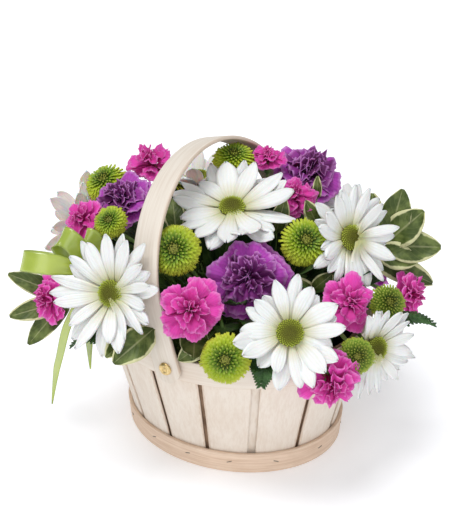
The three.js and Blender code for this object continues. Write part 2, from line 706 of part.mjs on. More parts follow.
// The green of a daisy: calyx, receptacle and a domed disc with raised florets
function daisyHead(key) {
  const bloom = BLOOMS[key];
  const profile = [
    [0, -DAISY_DEPTH], [2, -DAISY_DEPTH], [5.8, COLLAR_BOTTOM - 0.4],
    [RECEPTACLE_RADIUS, COLLAR_BOTTOM - 0.4], [RECEPTACLE_RADIUS, COLLAR_TOP + 0.6],
    [DISC_RADIUS, 0.2], [DISC_RADIUS * 0.75, 3.2], [DISC_RADIUS * 0.36, 4.6], [0, 4],
  ];
  const columns = bloom.petals > 12 ? 10 : 8;
  const geometry = latheOf(profile, columns);
  const position = geometry.attributes.position;
  for (let i = 0; i < position.count; i += 1) {
    const ring = i % profile.length;
    const column = Math.floor(i / profile.length) % columns;
    const floret = ring > 5 && ring < profile.length - 1 && (ring + column) % 2 === 0;
    if (floret) position.setZ(i, position.getZ(i) + 1);
  }
  geometry.applyMatrix4(frameAt(polar(...bloom.at), aim(...bloom.face)));
  return toSolid(geometry);
}

// A carnation: a calyx under tiers of toothed petals that wave up and down, each tier's
// edge standing out over the valley before the next
function carnationHead(key) {
  const { at, face, radius, tiers, columns } = BLOOMS[key];
  const back = -backDepth(BLOOMS[key]);
  const edges = [];
  for (let tier = 0; tier < tiers; tier += 1) {
    const part = tier / tiers;
    edges.push([radius * (1 - 0.8 * part ** 1.1), radius * (0.55 * Math.sqrt(part) - 0.12)]);
  }
  const profile = [[0, back], [2.2, back], [radius * 0.2, back + 8], [radius * 0.45, -radius * 0.38]];
  const roots = profile.length;
  edges.forEach(([reach, height], tier) => {
    profile.push([reach, height]);
    const [nextReach, nextHeight] = edges[tier + 1] ?? [0, height];
    if (tier < tiers - 1) {
      profile.push([(reach + nextReach) * 0.44, (height + nextHeight) / 2 - radius * 0.13]);
    }
  });
  profile.push([0, edges[tiers - 1][1] - radius * 0.06]);
  const geometry = latheOf(profile, columns);
  const position = geometry.attributes.position;
  const random = seeded(Object.keys(BLOOMS).indexOf(key) * 131 + 7);
  const wobble = profile.map(() => Array.from({ length: columns }, () => random() - 0.5));
  for (let i = 0; i < position.count; i += 1) {
    const ring = i % profile.length;
    const column = Math.floor(i / profile.length) % columns;
    const edge = ring >= roots && ring < profile.length - 1 && (ring - roots) % 2 === 0;
    if (!edge) continue;
    const tooth = (column + (ring - roots) / 2) % 2 === 0 ? 1 : 0.84;
    position.setX(i, position.getX(i) * tooth);
    position.setY(i, position.getY(i) * tooth);
    position.setZ(i, position.getZ(i) + radius * (0.2 * wobble[ring][column] + (tooth === 1 ? 0.05 : -0.05)));
  }
  staggerRings(geometry, (i) => Math.max(0, (i % profile.length) - roots), columns);
  geometry.applyMatrix4(frameAt(polar(...at), aim(...face)));
  return toSolid(geometry);
}

// A button chrysanthemum: a flattened ball of short petals, each raised between its
// neighbours, with a dimple at the middle
function buttonHead(key) {
  const { at, face, radius, columns, rows } = BLOOMS[key];
  const ball = new THREE.SphereGeometry(radius, columns, rows);
  ball.rotateX(Math.PI / 2);
  const position = ball.attributes.position;
  const rowOf = (i) => Math.floor(i / (columns + 1));
  for (let i = 0; i < position.count; i += 1) {
    const row = rowOf(i);
    const pole = row === 0 || row === rows;
    const raised = (row + (i % (columns + 1))) % 2 === 0;
    const size = pole || !raised ? 0.84 : 1;
    const flat = position.getZ(i) > 0 ? 0.74 : 0.8;
    position.setXYZ(i, position.getX(i) * size, position.getY(i) * size, position.getZ(i) * size * flat);
  }
  staggerRings(ball, rowOf, columns);
  ball.applyMatrix4(frameAt(polar(...at), aim(...face)));
  return toSolid(ball);
}

const HEADS = { daisy: daisyHead, carnation: carnationHead, button: buttonHead };

// A spray: one stem from the foam that branches to the back of each of its blooms
function spray({ entry, blooms }) {
  const mouth = foamEntry(...entry);
  drillHole(mouth);
  const parts = [];
  blooms.forEach((key, i) => {
    const bloom = BLOOMS[key];
    const facing = aim(...bloom.face);
    const end = polar(...bloom.at).addScaledVector(facing, 1 - backDepth(bloom));
    parts.push(stemTube(mouth, end, facing, { steps: i === 0 ? 6 : 4, rooted: i === 0, low: bloom.low }));
    parts.push(HEADS[bloom.kind](key));
  });
  return fuse(parts);
}

// Leaves

const LEAF_STATIONS = [0, 0.3, 0.72, 1];

// A leaf from its root to its tip, arched, with sides that wave
function leaf(root, tip, halfWidth, phase) {
  const along = tip.clone().sub(root);
  const length = along.length();
  along.normalize();
  const across = vec(-along.y, along.x, 0).normalize();
  const normal = across.clone().cross(along);
  if (normal.z < 0) normal.negate();
  return blade(LEAF_STATIONS, (part, side) => {
    const bow = 3 * Math.sin(Math.PI * part);
    const wave = 1.3 * Math.sin(part * 11 + phase + side * 1.6) * Math.abs(side);
    return {
      middle: root.clone().addScaledVector(along, length * part).addScaledVector(normal, bow + wave),
      across,
      normal,
      halfWidth: part === 0 ? 1.3 : halfWidth * Math.sin(Math.PI * (0.1 + 0.8 * part)),
      thickness: 1.3,
      crown: -0.8,
    };
  });
}

function straightStalk(from, to) {
  const along = to.clone().sub(from).normalize();
  const stalk = new THREE.CylinderGeometry(1, 1, from.distanceTo(to) + 1, 5);
  stalk.rotateX(Math.PI / 2);
  stalk.applyMatrix4(frameAt(from.clone().add(to).multiplyScalar(0.5), along));
  return toSolid(stalk);
}

function sprig({ entry, tip, leaves }) {
  const mouth = foamEntry(...entry);
  const end = polar(...tip);
  drillHole(mouth);
  const heading = end.clone().sub(mouth).normalize();
  const curve = stemCurve(mouth, end, heading);
  const parts = [stemTube(mouth, end, heading, { radius: 1.4 })];
  leaves.forEach((item, i) => {
    let root = curve.getPoint(Math.min(item.root, 0.99));
    if (item.stalk) {
      const joint = polar(...item.stalk);
      parts.push(straightStalk(root, joint));
      root = joint;
    }
    parts.push(leaf(root, polar(...item.tip), item.halfWidth, i * 1.7));
  });
  return fuse(parts);
}

const FROND_PAIRS = 5;

// A frond: one thin arched blade whose outline is cut into leaflets down to its rib
function frond(joint, end) {
  const length = joint.distanceTo(end);
  const outline = [[0, 1]];
  for (let i = 0; i < FROND_PAIRS; i += 1) {
    const start = (i + 0.15) / FROND_PAIRS;
    const width = length * 0.34 * (1 - 0.75 * start);
    outline.push([start * length, 1.2]);
    outline.push([(start + 0.1) * length, width], [(start + 0.16) * length, width * 0.9]);
    outline.push([((i + 0.92) / FROND_PAIRS) * length, 1.2]);
  }
  outline.push([length, 0.5]);
  const mirrored = outline.map(([x, y]) => [x, -y]).reverse();
  const shape = new THREE.Shape([...outline, ...mirrored].map(([x, y]) => new THREE.Vector2(x, y)));
  const geometry = new THREE.ExtrudeGeometry(shape, { depth: 0.9, bevelEnabled: false, steps: 1 });
  const position = geometry.attributes.position;
  for (let i = 0; i < position.count; i += 1) {
    const part = position.getX(i) / length;
    const droop = 4 * Math.sin(Math.PI * part) - 0.02 * position.getY(i) ** 2;
    position.setZ(i, position.getZ(i) - 0.45 + droop);
  }
  const heading = end.clone().sub(joint).normalize();
  const across = vec(-heading.y, heading.x, 0).normalize();
  const normal = heading.clone().cross(across);
  geometry.applyMatrix4(new THREE.Matrix4().makeBasis(heading, across, normal).setPosition(joint));
  return toSolid(geometry);
}

function fern({ entry, joint, tip }) {
  const mouth = foamEntry(...entry);
  drillHole(mouth);
  const from = polar(...joint);
  const to = polar(...tip);
  const heading = to.clone().sub(from).normalize();
  const reach = from.clone().addScaledVector(heading, 3);
  return fuse([stemTube(mouth, reach, heading, { radius: 1.3, low: true }), frond(from, to)]);
}

// The bow

const knotAt = polar(...KNOT);

// A length of ribbon through points, its width laid along a direction that is turned
// square to it and gathered where it meets the knot; the end of a tail is cut to a point
function ribbonLength(points, width, isTail) {
  const curve = new THREE.CatmullRomCurve3(points);
  const steps = isTail ? 5 : 10;
  const geometry = new THREE.BoxGeometry(RIBBON_WIDTH, RIBBON_THICKNESS, 1, 1, 1, steps);
  const position = geometry.attributes.position;
  for (let i = 0; i < position.count; i += 1) {
    const part = position.getZ(i) + 0.5;
    const along = curve.getTangent(part);
    const across = width.clone().addScaledVector(along, -width.dot(along)).normalize();
    const normal = along.clone().cross(across);
    const fromKnot = isTail ? part : Math.min(part, 1 - part);
    const gathered = mix(0.25, 1, Math.min(1, fromKnot * 5));
    const narrow = isTail && part > 0.99 ? 0.2 : gathered;
    const point = curve.getPoint(part)
      .addScaledVector(across, position.getX(i) * narrow)
      .addScaledVector(normal, position.getY(i));
    position.setXYZ(i, point.x, point.y, point.z);
  }
  return toSolid(geometry);
}

// The wire pick that the bow is tied to, from the foam into the back of the knot
function pickSolid(radius) {
  const entry = foamEntry(...PICK_ENTRY);
  const heading = knotAt.clone().sub(entry).normalize();
  return stemTube(entry, knotAt.clone(), heading, { radius, steps: 4 });
}

function makeRibbon() {
  const knot = new THREE.SphereGeometry(KNOT_RADIUS, 7, 5);
  knot.scale(1, 0.8, 1);
  knot.translate(knotAt.x, knotAt.y, knotAt.z);
  const parts = [toSolid(knot)];
  LOOPS.forEach(({ points, width }) => {
    const line = [knotAt, ...points.map((point) => polar(...point)), knotAt.clone().add(vec(0, 0, 0.5))];
    parts.push(ribbonLength(line, vec(...width), false));
  });
  TAILS.forEach(({ points, width }) => {
    const line = [knotAt, ...points.map((point) => polar(...point))];
    parts.push(ribbonLength(line, vec(...width), true));
  });
  return fuse(parts).subtract(pickSolid(PICK_RADIUS + 0.5));
}

// Assembly

const rivetHole = toSolid(barAcross(RIVET_SHANK_RADIUS + GAP, -WELL_OUTSIDE, WELL_OUTSIDE, 8));
const wallDepth = STAVE_THICKNESS + GAP;
const boardRadius = wallRadius(0) - wallDepth;
addPiece('base_board', ovalLathe([
  [0, 0], [boardRadius, 0], [boardRadius + 0.4, BOARD_THICKNESS], [0, BOARD_THICKNESS],
], STAVE_SEGMENTS), BARE_WOOD, 0.75);
addPiece('base_hoop', hoop(0, BASE_HOOP_HEIGHT), BARE_WOOD, 0.7);
addPiece('rim_hoop', hoop(RIM_HOOP_BOTTOM, BASKET_HEIGHT).subtract(rivetHole), PAINTED_WOOD, 0.7);
makeStaves().forEach((stave, i) => {
  addPiece(`stave_${String(i + 1).padStart(2, '0')}`, stave.subtract(rivetHole), PAINTED_WOOD, 0.7);
});
addPiece('inner_wall', wallRing(
  BOARD_THICKNESS + GAP,
  STAVE_TOP,
  wallDepth,
  wallDepth + INNER_WALL_THICKNESS,
  STAVE_SEGMENTS,
).subtract(rivetHole), PAINTED_WOOD, 0.8);

const linerDepth = wallDepth + INNER_WALL_THICKNESS + GAP;
const linerFloor = BOARD_THICKNESS + GAP;
addPiece('liner', ovalLathe([
  [0, linerFloor],
  [wallRadius(linerFloor) - linerDepth, linerFloor],
  [wallRadius(BASE_HOOP_HEIGHT) - linerDepth, BASE_HOOP_HEIGHT],
  [wallRadius(RIM_HOOP_BOTTOM) - linerDepth, LINER_TOP],
  [wallRadius(RIM_HOOP_BOTTOM) - linerDepth - LINER_THICKNESS, LINER_TOP],
  [wallRadius(BASE_HOOP_HEIGHT) - linerDepth - LINER_THICKNESS, BASE_HOOP_HEIGHT],
  [wallRadius(linerFloor) - linerDepth - LINER_THICKNESS, linerFloor + LINER_THICKNESS],
  [0, linerFloor + LINER_THICKNESS],
], STAVE_SEGMENTS), LINER_GREEN, 0.5);

addPiece('handle', makeHandle().subtract(rivetHole), PAINTED_WOOD, 0.65);
addPiece('rivet_near', makeRivet(-1), BRASS, 0.3, 1);
addPiece('rivet_far', makeRivet(1), BRASS, 0.3, 1);

drillHole(foamEntry(...PICK_ENTRY));
addPiece('bow_pick', pickSolid(PICK_RADIUS), LEAF_GREEN, 0.7);
addPiece('ribbon_bow', makeRibbon(), RIBBON_LIME, 0.4);

Object.entries(SPRAYS).forEach(([name, parts]) => {
  addPiece(name, spray(parts), SPRAY_COLOURS[name.split('_')[0]], 0.8);
});
Object.keys(BLOOMS).filter((key) => BLOOMS[key].kind === 'daisy').forEach((key) => {
  const name = key.replace(/[A-Z]/g, (letter) => `_${letter.toLowerCase()}`);
  addPiece(`${name}_petals`, daisyPetals(key), PETAL_WHITE, 0.6);
});
Object.entries(SPRIGS).forEach(([name, parts]) => addPiece(name, sprig(parts), LEAF_GREEN, 0.5));
Object.entries(FERNS).forEach(([name, parts]) => addPiece(name, fern(parts), FERN_GREEN, 0.6));

const foamDepth = linerDepth + LINER_THICKNESS + GAP;
const foamFloor = linerFloor + LINER_THICKNESS + GAP;
addPiece('foam', ovalLathe([
  [0, foamFloor],
  [wallRadius(foamFloor) - foamDepth - 1, foamFloor],
  [wallRadius(FOAM_SHOULDER) - foamDepth - FOAM_SHOULDER_INSET, FOAM_SHOULDER],
  [wallRadius(FOAM_SHOULDER) - foamDepth - FOAM_TOP_INSET, FOAM_TOP],
  [0, FOAM_TOP],
], STAVE_SEGMENTS).subtract(fuse(stemHoles)), FOAM_GREEN, 0.95);

export default group;
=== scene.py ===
"""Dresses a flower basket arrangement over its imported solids.

Lengths are in millimetres until a piece is finished, and in metres after that. Places among
the flowers are given as azimuth in degrees, reach from the basket's axis and height.
"""

from collections import namedtuple
from math import acos, asin, atan2, cos, degrees, exp, pi, radians, sin, sqrt, tan
from random import Random

import bmesh
import bpy
from mathutils import Matrix, Vector, noise


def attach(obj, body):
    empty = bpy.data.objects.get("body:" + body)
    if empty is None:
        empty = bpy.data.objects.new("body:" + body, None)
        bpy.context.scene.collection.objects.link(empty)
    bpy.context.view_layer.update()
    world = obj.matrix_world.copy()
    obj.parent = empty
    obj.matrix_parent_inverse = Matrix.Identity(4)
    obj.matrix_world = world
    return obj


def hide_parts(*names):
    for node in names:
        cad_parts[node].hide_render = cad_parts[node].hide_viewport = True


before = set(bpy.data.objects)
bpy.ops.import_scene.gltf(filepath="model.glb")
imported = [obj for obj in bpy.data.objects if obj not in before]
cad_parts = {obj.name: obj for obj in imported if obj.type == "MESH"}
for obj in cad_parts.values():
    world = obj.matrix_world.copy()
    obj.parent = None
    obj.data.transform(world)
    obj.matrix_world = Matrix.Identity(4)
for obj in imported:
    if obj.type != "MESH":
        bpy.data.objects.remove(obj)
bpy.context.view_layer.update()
SCENE = bpy.context.scene

# The basket's sizes

GAP = 0.3
BASE_LONG_RADIUS = 80
RIM_LONG_RADIUS = 99.4
OVAL_AT_BASE = 0.845
OVAL_AT_RIM = 0.907
BASKET_HEIGHT = 101
BASE_HOOP_HEIGHT = 17
RIM_HOOP_BOTTOM = 82
HOOP_THICKNESS = 2.8
HOOP_STATIONS = 132
STAVE_THICKNESS = 2
STAVE_COUNT = 14
STAVE_ROWS = 14
STAVE_GAP = 2.6
WIDE_STAVE_GAP = 5.6
WIDE_GAP_AFTER = (1, 8)
WIDE_GAP_AZIMUTH = 3 * 180 / STAVE_COUNT - 90
STAVE_TOP = 99
STAPLE_WIDTH = 3.0
STAPLE_WIRE = 0.3
STAPLE_HEIGHTS = (9.5, 91)
FOAM_TOP = 112
FOAM_PROFILE = (
    (0, 7.2), (68, 7.2), (72, 80), (73.6, 92), (72.5, 96), (66, 101), (58, 107), (50, 111),
    (40, 112.6), (28, 113), (15, 113.2), (0, 113),
)
MOSS_FROM = 94
MOSS_TUFTS = 1500
MOSS_REACH = 80
MOSS_LEVEL_REACH = 45
HANDLE_WIDTH = 19.5
HANDLE_THICKNESS = 3
HANDLE_LEAN = radians(15.5)
HANDLE_HEIGHT = 120
HANDLE_LEG = 46
HANDLE_ARCH_POWER = 1.135
HANDLE_END_DROP = 1.5
HANDLE_CLEARANCE = 9.5
RIVET_HEIGHT = 93.5
RIVET_PROFILE = (
    (0, -3), (1.6, -3), (1.6, 0), (4.3, 0.0), (4.6, 0.3), (4.5, 0.8), (3.9, 1.5), (3.1, 2.0),
    (2.5, 2.1), (2.1, 1.7), (1.7, 1.4), (1.2, 1.5), (0.6, 1.9), (0, 2.0),
)

# The long radius of the staves' outer face, at the heights where it bends
BASE_WALL = BASE_LONG_RADIUS - HOOP_THICKNESS - GAP
RIM_WALL = RIM_LONG_RADIUS - HOOP_THICKNESS - GAP
WALL_BENDS = (0, BASE_HOOP_HEIGHT, RIM_HOOP_BOTTOM, BASKET_HEIGHT)
WALL_RADII = (BASE_WALL, BASE_WALL + 1.5, RIM_WALL - 2.6, RIM_WALL)
HANDLE_INNER_REACH = RIM_LONG_RADIUS * OVAL_AT_RIM + GAP
HANDLE_REACH = HANDLE_INNER_REACH + HANDLE_THICKNESS / 2
HANDLE_ALONG = Vector((-sin(HANDLE_LEAN), 0, cos(HANDLE_LEAN)))
HANDLE_ACROSS = Vector((cos(HANDLE_LEAN), 0, sin(HANDLE_LEAN)))

# The flowers

STEM_RADIUS = 1.6
STEM_DEPTH = 26
STEM_FOOT_PULL = 0.82
OVER_RIM_HEIGHT = 128
DISC_RADIUS = 10.6
DOME_RADIUS = 9.4
DISC_FLORETS = 150
DAISY_DEPTH = 9.5
CALYX_LENGTH = 9
LARGE_CARNATION = 22
BUTTON_FLORETS = 230
BUTTON_FLATNESS = 0.78
BUTTON_LAST_LEAN = radians(118)
GREEN_TINT = 0.42
GOLDEN_TURN = pi * (3 - sqrt(5))
DAISY_CALYX = (
    (0, -9.5), (1.9, -9.4), (3.4, -8.2), (5.4, -6.0), (6.3, -5.0), (6.0, -4.4), (4.2, -4.2),
    (0, -4.2),
)

# Each bloom by its kind: where its head is, where that faces as azimuth and lift, and how far
# it reaches; for a daisy also how far its petals stand up, how many they are and, where some
# are missing, between which azimuths
Bloom = namedtuple("Bloom", "kind at face radius cup rays bare", defaults=(0, 0, None))
BLOOM_KINDS = {
    "daisy": {
        "daisy_top": ((-77, 8, 176), (-60, 70), 43, 10, 22),
        "daisy_right": ((12, 82, 161), (-26, 29), 39, 18, 27),
        "daisy_left": ((-110, 107, 144), (-91, 25), 42, 18, 28),
        "daisy_front": ((-41, 103, 131), (-57, 33), 40, 14, 21),
        "daisy_low_right": ((-8, 117, 102), (-28, 12), 35, 14, 29, (120, 172)),
        "daisy_far_left": ((-173, 117, 137), (155, 0), 31, 12, 24),
        "daisy_far_right": ((65, 106, 144), (37, 75), 36, 10, 19),
        "daisy_behind_handle": ((147, 59, 170), (-146, 83), 25, 22, 17),
        "daisy_back": ((124, 108, 126), (120, 22), 37, 12, 20),
    },
    "carnation": {
        "carnation_front": ((-51, 51, 144), (-60, 41), 29),
        "carnation_left": ((-160, 79, 171), (-110, 57), 24),
        "carnation_top": ((77.3, 79, 171), (-16, 70), 27),
        "carnation_back": ((48, 107, 112), (44, 14), 24.5),
        "pink_handle": ((-78, 95, 144), (-66, 33), 20.5),
        "pink_right": ((-11, 99, 134), (-35, 31), 19),
        "pink_far_right": ((22, 124, 112), (3, 14), 16),
        "pink_rim": ((-30, 121, 97), (-46, -10), 20.5),
        "pink_left": ((-150, 105, 163), (-105, 37), 16),
        "pink_far_left": ((-142, 131, 111), (-124, 14), 17),
        "pink_top": ((43, 42, 176), (-44, 58), 15.5),
        "pink_behind": ((94, 54, 188), (-60, 80), 12),
        "pink_upper_left": ((163, 88, 178), (-91, 77), 15),
        "pink_back": ((168, 118, 106), (168, 10), 16),
    },
    "button": {
        "button_handle": ((-99, 64, 165), (-67, 38), 16.5),
        "button_right": ((-4, 55, 160), (-46, 48), 16),
        "button_front": ((-64, 104, 116), (-66, 23), 15.5),
        "button_behind": ((120.5, 42, 187), (-60, 79), 14.5),
        "button_upper_left": ((-178, 103, 166), (-115, 62), 15),
        "button_left": ((-137, 86, 170), (-83, 52), 11),
        "button_far_right": ((6, 111, 122), (-36, 37), 12),
        "button_rim": ((-19, 118, 108), (-55, 28), 11.5),
        "button_back": ((152, 88, 146), (150, 30), 14),
    },
}
BLOOMS = {
    name: Bloom(kind, *row) for kind, rows in BLOOM_KINDS.items() for name, row in rows.items()
}

# The sprays: the node, where it stands in the foam, and its blooms
SPRAYS = {
    "daisy_stem_top": (-77, 6, "daisy_top"),
    "daisy_spray_right": (34, 38, "daisy_right daisy_far_right"),
    "daisy_spray_left": (-138, 42, "daisy_left daisy_far_left"),
    "daisy_spray_front": (-10, 46, "daisy_front daisy_low_right"),
    "daisy_spray_back": (132, 38, "daisy_behind_handle daisy_back"),
    "carnation_front": (-52, 20, "carnation_front"),
    "carnation_left": (-174, 30, "carnation_left"),
    "carnation_top": (72, 32, "carnation_top"),
    "carnation_back": (52, 52, "carnation_back"),
    "mini_carnation_handle": (-96, 46, "pink_handle"),
    "mini_carnations_right": (14, 54, "pink_right pink_far_right"),
    "mini_carnation_rim": (-32, 60, "pink_rim"),
    "mini_carnations_left": (-142, 56, "pink_left pink_far_left"),
    "mini_carnations_top": (55, 14, "pink_top pink_behind"),
    "mini_carnations_back": (170, 50, "pink_upper_left pink_back"),
    "button_poms_handle": (-80, 42, "button_handle button_front button_left"),
    "button_poms_right": (4, 32, "button_right button_far_right"),
    "button_pom_rim": (-20, 56, "button_rim"),
    "button_poms_back": (172, 34, "button_behind button_upper_left button_back"),
}
LOW_BLOOMS = ("pink_rim",)

# Blooms that open wider than the rest of their kind, and buttons that are still green
ENLARGED = {"pink_upper_left": 1.12}
GREEN_BUTTONS = ("button_far_right", "button_rim")

# The petals of some daisies: how long they are, and how those that show their backs stand
RAY_REACH = {"daisy_top": 45, "daisy_left": 44.2, "daisy_front": 37.5}
SEEN_FROM_BEHIND = {
    "daisy_far_left": {"radius": 38, "cup": 6},
    "daisy_behind_handle": {"cup": 54, "radius": 24},
}

# Where petals start over the edge of the disc: the middle and half of that range, in degrees,
# how far over it they reach, and how much shorter they are for that
VEILS = {
    "daisy_top": (275, 48, 0.5, 0),
    "daisy_right": (-30, 70, 0.9, 0),
    "daisy_left": (0, 62, 0.62, 0.24),
    "daisy_low_right": (215, 75, 0.9, 0),
    "daisy_far_right": (200, 50, 0.7, 0),
    "daisy_back": (60, 50, 0.7, 0),
}
RAY_ROWS = 10
RAY_COLUMNS = 6
UPPER_RAYS = -1.6
LOWER_RAYS = -3.4
USUAL_RAYS = 22
VEIL_RISE = 7.4

# A whorl of carnation petals: how far and how high its edge is in radii, its petals, half of
# each petal's spread in degrees, and how crumpled they are
Whorl = namedtuple("Whorl", "reach height petals spread ruffle")
LARGE_WHORLS = (
    Whorl(1.0, -0.1, 6, 44, 0.0),
    Whorl(0.95, 0.06, 6, 44, 0.12),
    Whorl(0.7, 0.17, 7, 40, 0.7),
    Whorl(0.59, 0.26, 7, 40, 0.9),
    Whorl(0.46, 0.33, 7, 44, 1.0),
    Whorl(0.33, 0.36, 6, 48, 1.0),
    Whorl(0.2, 0.37, 4, 60, 1.0),
)
SMALL_WHORLS = (
    Whorl(0.94, -0.34, 6, 46, 0.15),
    Whorl(1.08, -0.12, 5, 34, 0.35),
    Whorl(0.96, 0.1, 5, 32, 0.5),
    Whorl(0.68, 0.28, 5, 36, 0.62),
    Whorl(0.44, 0.38, 4, 44, 0.8),
    Whorl(0.24, 0.42, 3, 60, 1.0),
)

# Leafy sprigs: where each stands, its tip, how much wider than their solids its leaves are,
# which way they show, and its leaves as root along the stem, tip, half width and, for some,
# the end of their own stalk
SHOW_UP = Vector((0.1, -0.15, 1))
SHOW_FRONT = Vector((0.42, -0.78, 0.55))
SHOW_BACK = Vector((-0.1, 0.5, 0.8))
SPRIGS = {
    "pittosporum_right": ((20, 58), (33, 108, 142), 1.38, SHOW_FRONT, (
        (0.95, (36, 116, 179), 8),
        (0.93, (32, 130, 166), 8.5),
        (0.86, (30, 143, 140), 8.5),
        (0.79, (28, 126, 130), 7),
        (0.65, (31.5, 140, 109), 7),
        (0.72, (42, 98, 172), 7.5),
        (0.35, (24, 70, 140), 7),
    )),
    "pittosporum_left": ((-168, 58), (-150, 120, 98), 1.0, SHOW_FRONT, (
        (0.97, (-152, 160, 117), 7.5),
        (1, (-146, 159, 92), 8),
        (0.9, (-143, 147, 73), 8),
        (0.85, (-156, 150, 104), 7.5),
        (0.6, (-172, 126, 98), 8),
        (0.3, (178, 118, 110), 8, (176, 74, 115)),
    )),
    "pittosporum_back": ((104, 50), (106, 76, 122), 1.38, SHOW_BACK, (
        (1, (109, 118, 100), 9),
        (0.9, (90, 66, 142), 8),
        (0.8, (112, 76, 146), 8),
        (0.55, (77, 118, 100), 9, (79, 76, 113)),
        (0.5, (66, 112, 112), 8, (74, 72, 114)),
        (0.5, (142, 116, 100), 9, (138, 72, 114)),
        (0.45, (156, 104, 122), 8, (146, 66, 115)),
    )),
    "pittosporum_front": ((-113, 52), (-110, 76, 113), 1.38, SHOW_FRONT, (
        (0.95, (-103, 124, 109), 8),
        (0.5, (-76, 102, 112), 7, (-82, 72, 113)),
    )),
}

# Small leaves with pale margins that peep out between the blooms: root, tip and half width
PEEP_LEAVES = (
    ((19, 28, 153), (25, 34, 180), 6.2),
    ((31, 57, 156), (31, 48, 176), 6.0),
    ((56, 64, 163), (57, 65, 181), 3.4),
    ((-9, 66, 129), (-22, 57, 141), 5.0),
    ((-9, 66, 130), (-4, 78, 144), 5.5),
    ((-74, 81, 113), (-83, 97, 105), 7.0),
    ((-95, 92, 122), (-100, 124, 107), 10.5),
    ((-156, 41, 150), (-175, 48, 169), 7.5),
    ((-160, 36, 152), (179, 44, 165), 7.0),
)
FILL_LEAVES = 110

# Fern tips: where each stands, its first and last point, the part of that way that its rib
# takes, and its longest leaflets as a part of the rib
FERNS = {
    "fern_left": ((-122, 58), (-112, 110, 112.5), (-117.5, 130, 103.5), 1, 0.46),
    "fern_front": ((-46, 58), (-48, 96, 112), (-54, 122, 92), 0.64, 0.62),
    "fern_right": ((3, 62), (10, 112, 107), (13, 142, 102), 1, 0.46),
}
FERN_PAIRS = 11

# The bow: its knot, then loops and tails as the way the ribbon's width lies and its points
KNOT = (-126, 108, 144)
PICK_ENTRY = (-134, 54)
PICK_RADIUS = 1.1
RIBBON_WIDTH = 14
LOOP_HALF_WIDTH = 0.5
TAIL_HALF_WIDTH = 0.36
TAIL_CUT = 0.24
LOOPS = (
    ((0.05, -0.51, -0.86), (
        (-127, 122, 152), (-128, 136, 156), (-131, 146, 156),
        (-134, 148, 153), (-135.5, 141, 150), (-134, 126, 147),
    )),
    ((-0.2, -0.6, -0.78), (
        (-131.5, 113, 153), (-133.5, 119, 157), (-134, 122, 163),
        (-132.3, 120.5, 168.5), (-130, 117, 168), (-128.5, 112, 161),
    )),
    ((-0.2, -0.6, -0.78), (
        (-131, 104, 152), (-132.5, 105.5, 158), (-132.3, 106, 163.5),
        (-131, 104, 166), (-130.2, 101, 163), (-129, 102, 155),
    )),
)
TAILS = (
    ((0.8, -0.35, 0.4), ((-124, 117, 127), (-124, 127, 108), (-125, 133, 83), (-125, 141, 54))),
    ((0.9, -0.44, 0), ((-125, 108, 126), (-123, 111, 100), (-123, 114, 77))),
)

# Places and directions


def mix(low, high, part):
    return low + (high - low) * part


def clamp(value, low=0.0, high=1.0):
    return max(low, min(high, value))


def smooth(value, low, high):
    part = clamp((value - low) / (high - low))
    return part * part * (3 - 2 * part)


def around(radius, turn, height=0, flat=1):
    """A point round an upright axis, by a turn in radians; flat squeezes its circle."""
    return Vector((radius * cos(turn), radius * sin(turn) * flat, height))


def polar(azimuth, reach, height):
    return around(reach, radians(azimuth), height)


def aim(azimuth, lift):
    return polar(azimuth, cos(radians(lift)), sin(radians(lift)))


def frame_at(point, facing):
    """A frame at a point whose Z looks along a direction and whose X is level."""
    across = Vector((-facing.y, facing.x, 0)).normalized()
    over = facing.cross(across)
    turned = Matrix((across, over, facing)).transposed().to_4x4()
    turned.translation = point
    return turned


def head_frame(bloom):
    return frame_at(polar(*bloom.at), aim(*bloom.face))


# Meshes


def new_mesh():
    bm = bmesh.new()
    bm.loops.layers.uv.new("UVMap")
    bm.verts.layers.float.new("tone")
    return bm


def lay_grid(bm, across, along, place, tag=0, tone=0.5):
    """A grid whose points are placed by u, from -1 to 1 across, and v, from 0 to 1 along."""
    uv_layer = bm.loops.layers.uv.active
    tone_layer = bm.verts.layers.float["tone"]
    made = bmesh.ops.create_grid(bm, x_segments=across, y_segments=along, size=1)["verts"]
    spots = {vert: (vert.co.x, (vert.co.y + 1) / 2) for vert in made}
    for face in {face for vert in made for face in vert.link_faces}:
        face.material_index = tag
        for loop in face.loops:
            u, v = spots[loop.vert]
            loop[uv_layer].uv = ((u + 1) / 2, v)
    for vert, (u, v) in spots.items():
        vert.co = place(u, v)
        vert[tone_layer] = tone


def lay_turned(bm, profile, sides, place, tag=0, tone=0.5):
    """A profile of (radius, height), from the axis to the axis, turned round Z and placed."""
    last = len(profile) - 1

    def spot(u, v):
        radius, height = profile[round(v * last)]
        return place @ around(radius, pi * u, height)

    lay_grid(bm, sides, last, spot, tag, tone)


def lay_tube(bm, line, radius, sides=8):
    """A closed tube along a line; its radius is a number or is given along it."""
    radius_at = radius if callable(radius) else lambda part: radius
    stations = [line[0], *line, line[-1]]
    last = len(stations) - 1
    frames = []
    side = Vector((0.31, 0.83, 0.46))
    for i in range(len(line)):
        along = (line[min(i + 1, len(line) - 1)] - line[max(i - 1, 0)]).normalized()
        side = (side - along * side.dot(along)).normalized()
        frames.append((side, along.cross(side)))
    frames = [frames[0], *frames, frames[-1]]

    def spot(u, v):
        i = round(v * last)
        size = 0 if i in (0, last) else radius_at((i - 1) / (last - 2))
        first, second = frames[i]
        return stations[i] + (first * cos(pi * u) + second * sin(pi * u)) * size

    lay_grid(bm, sides, last, spot)


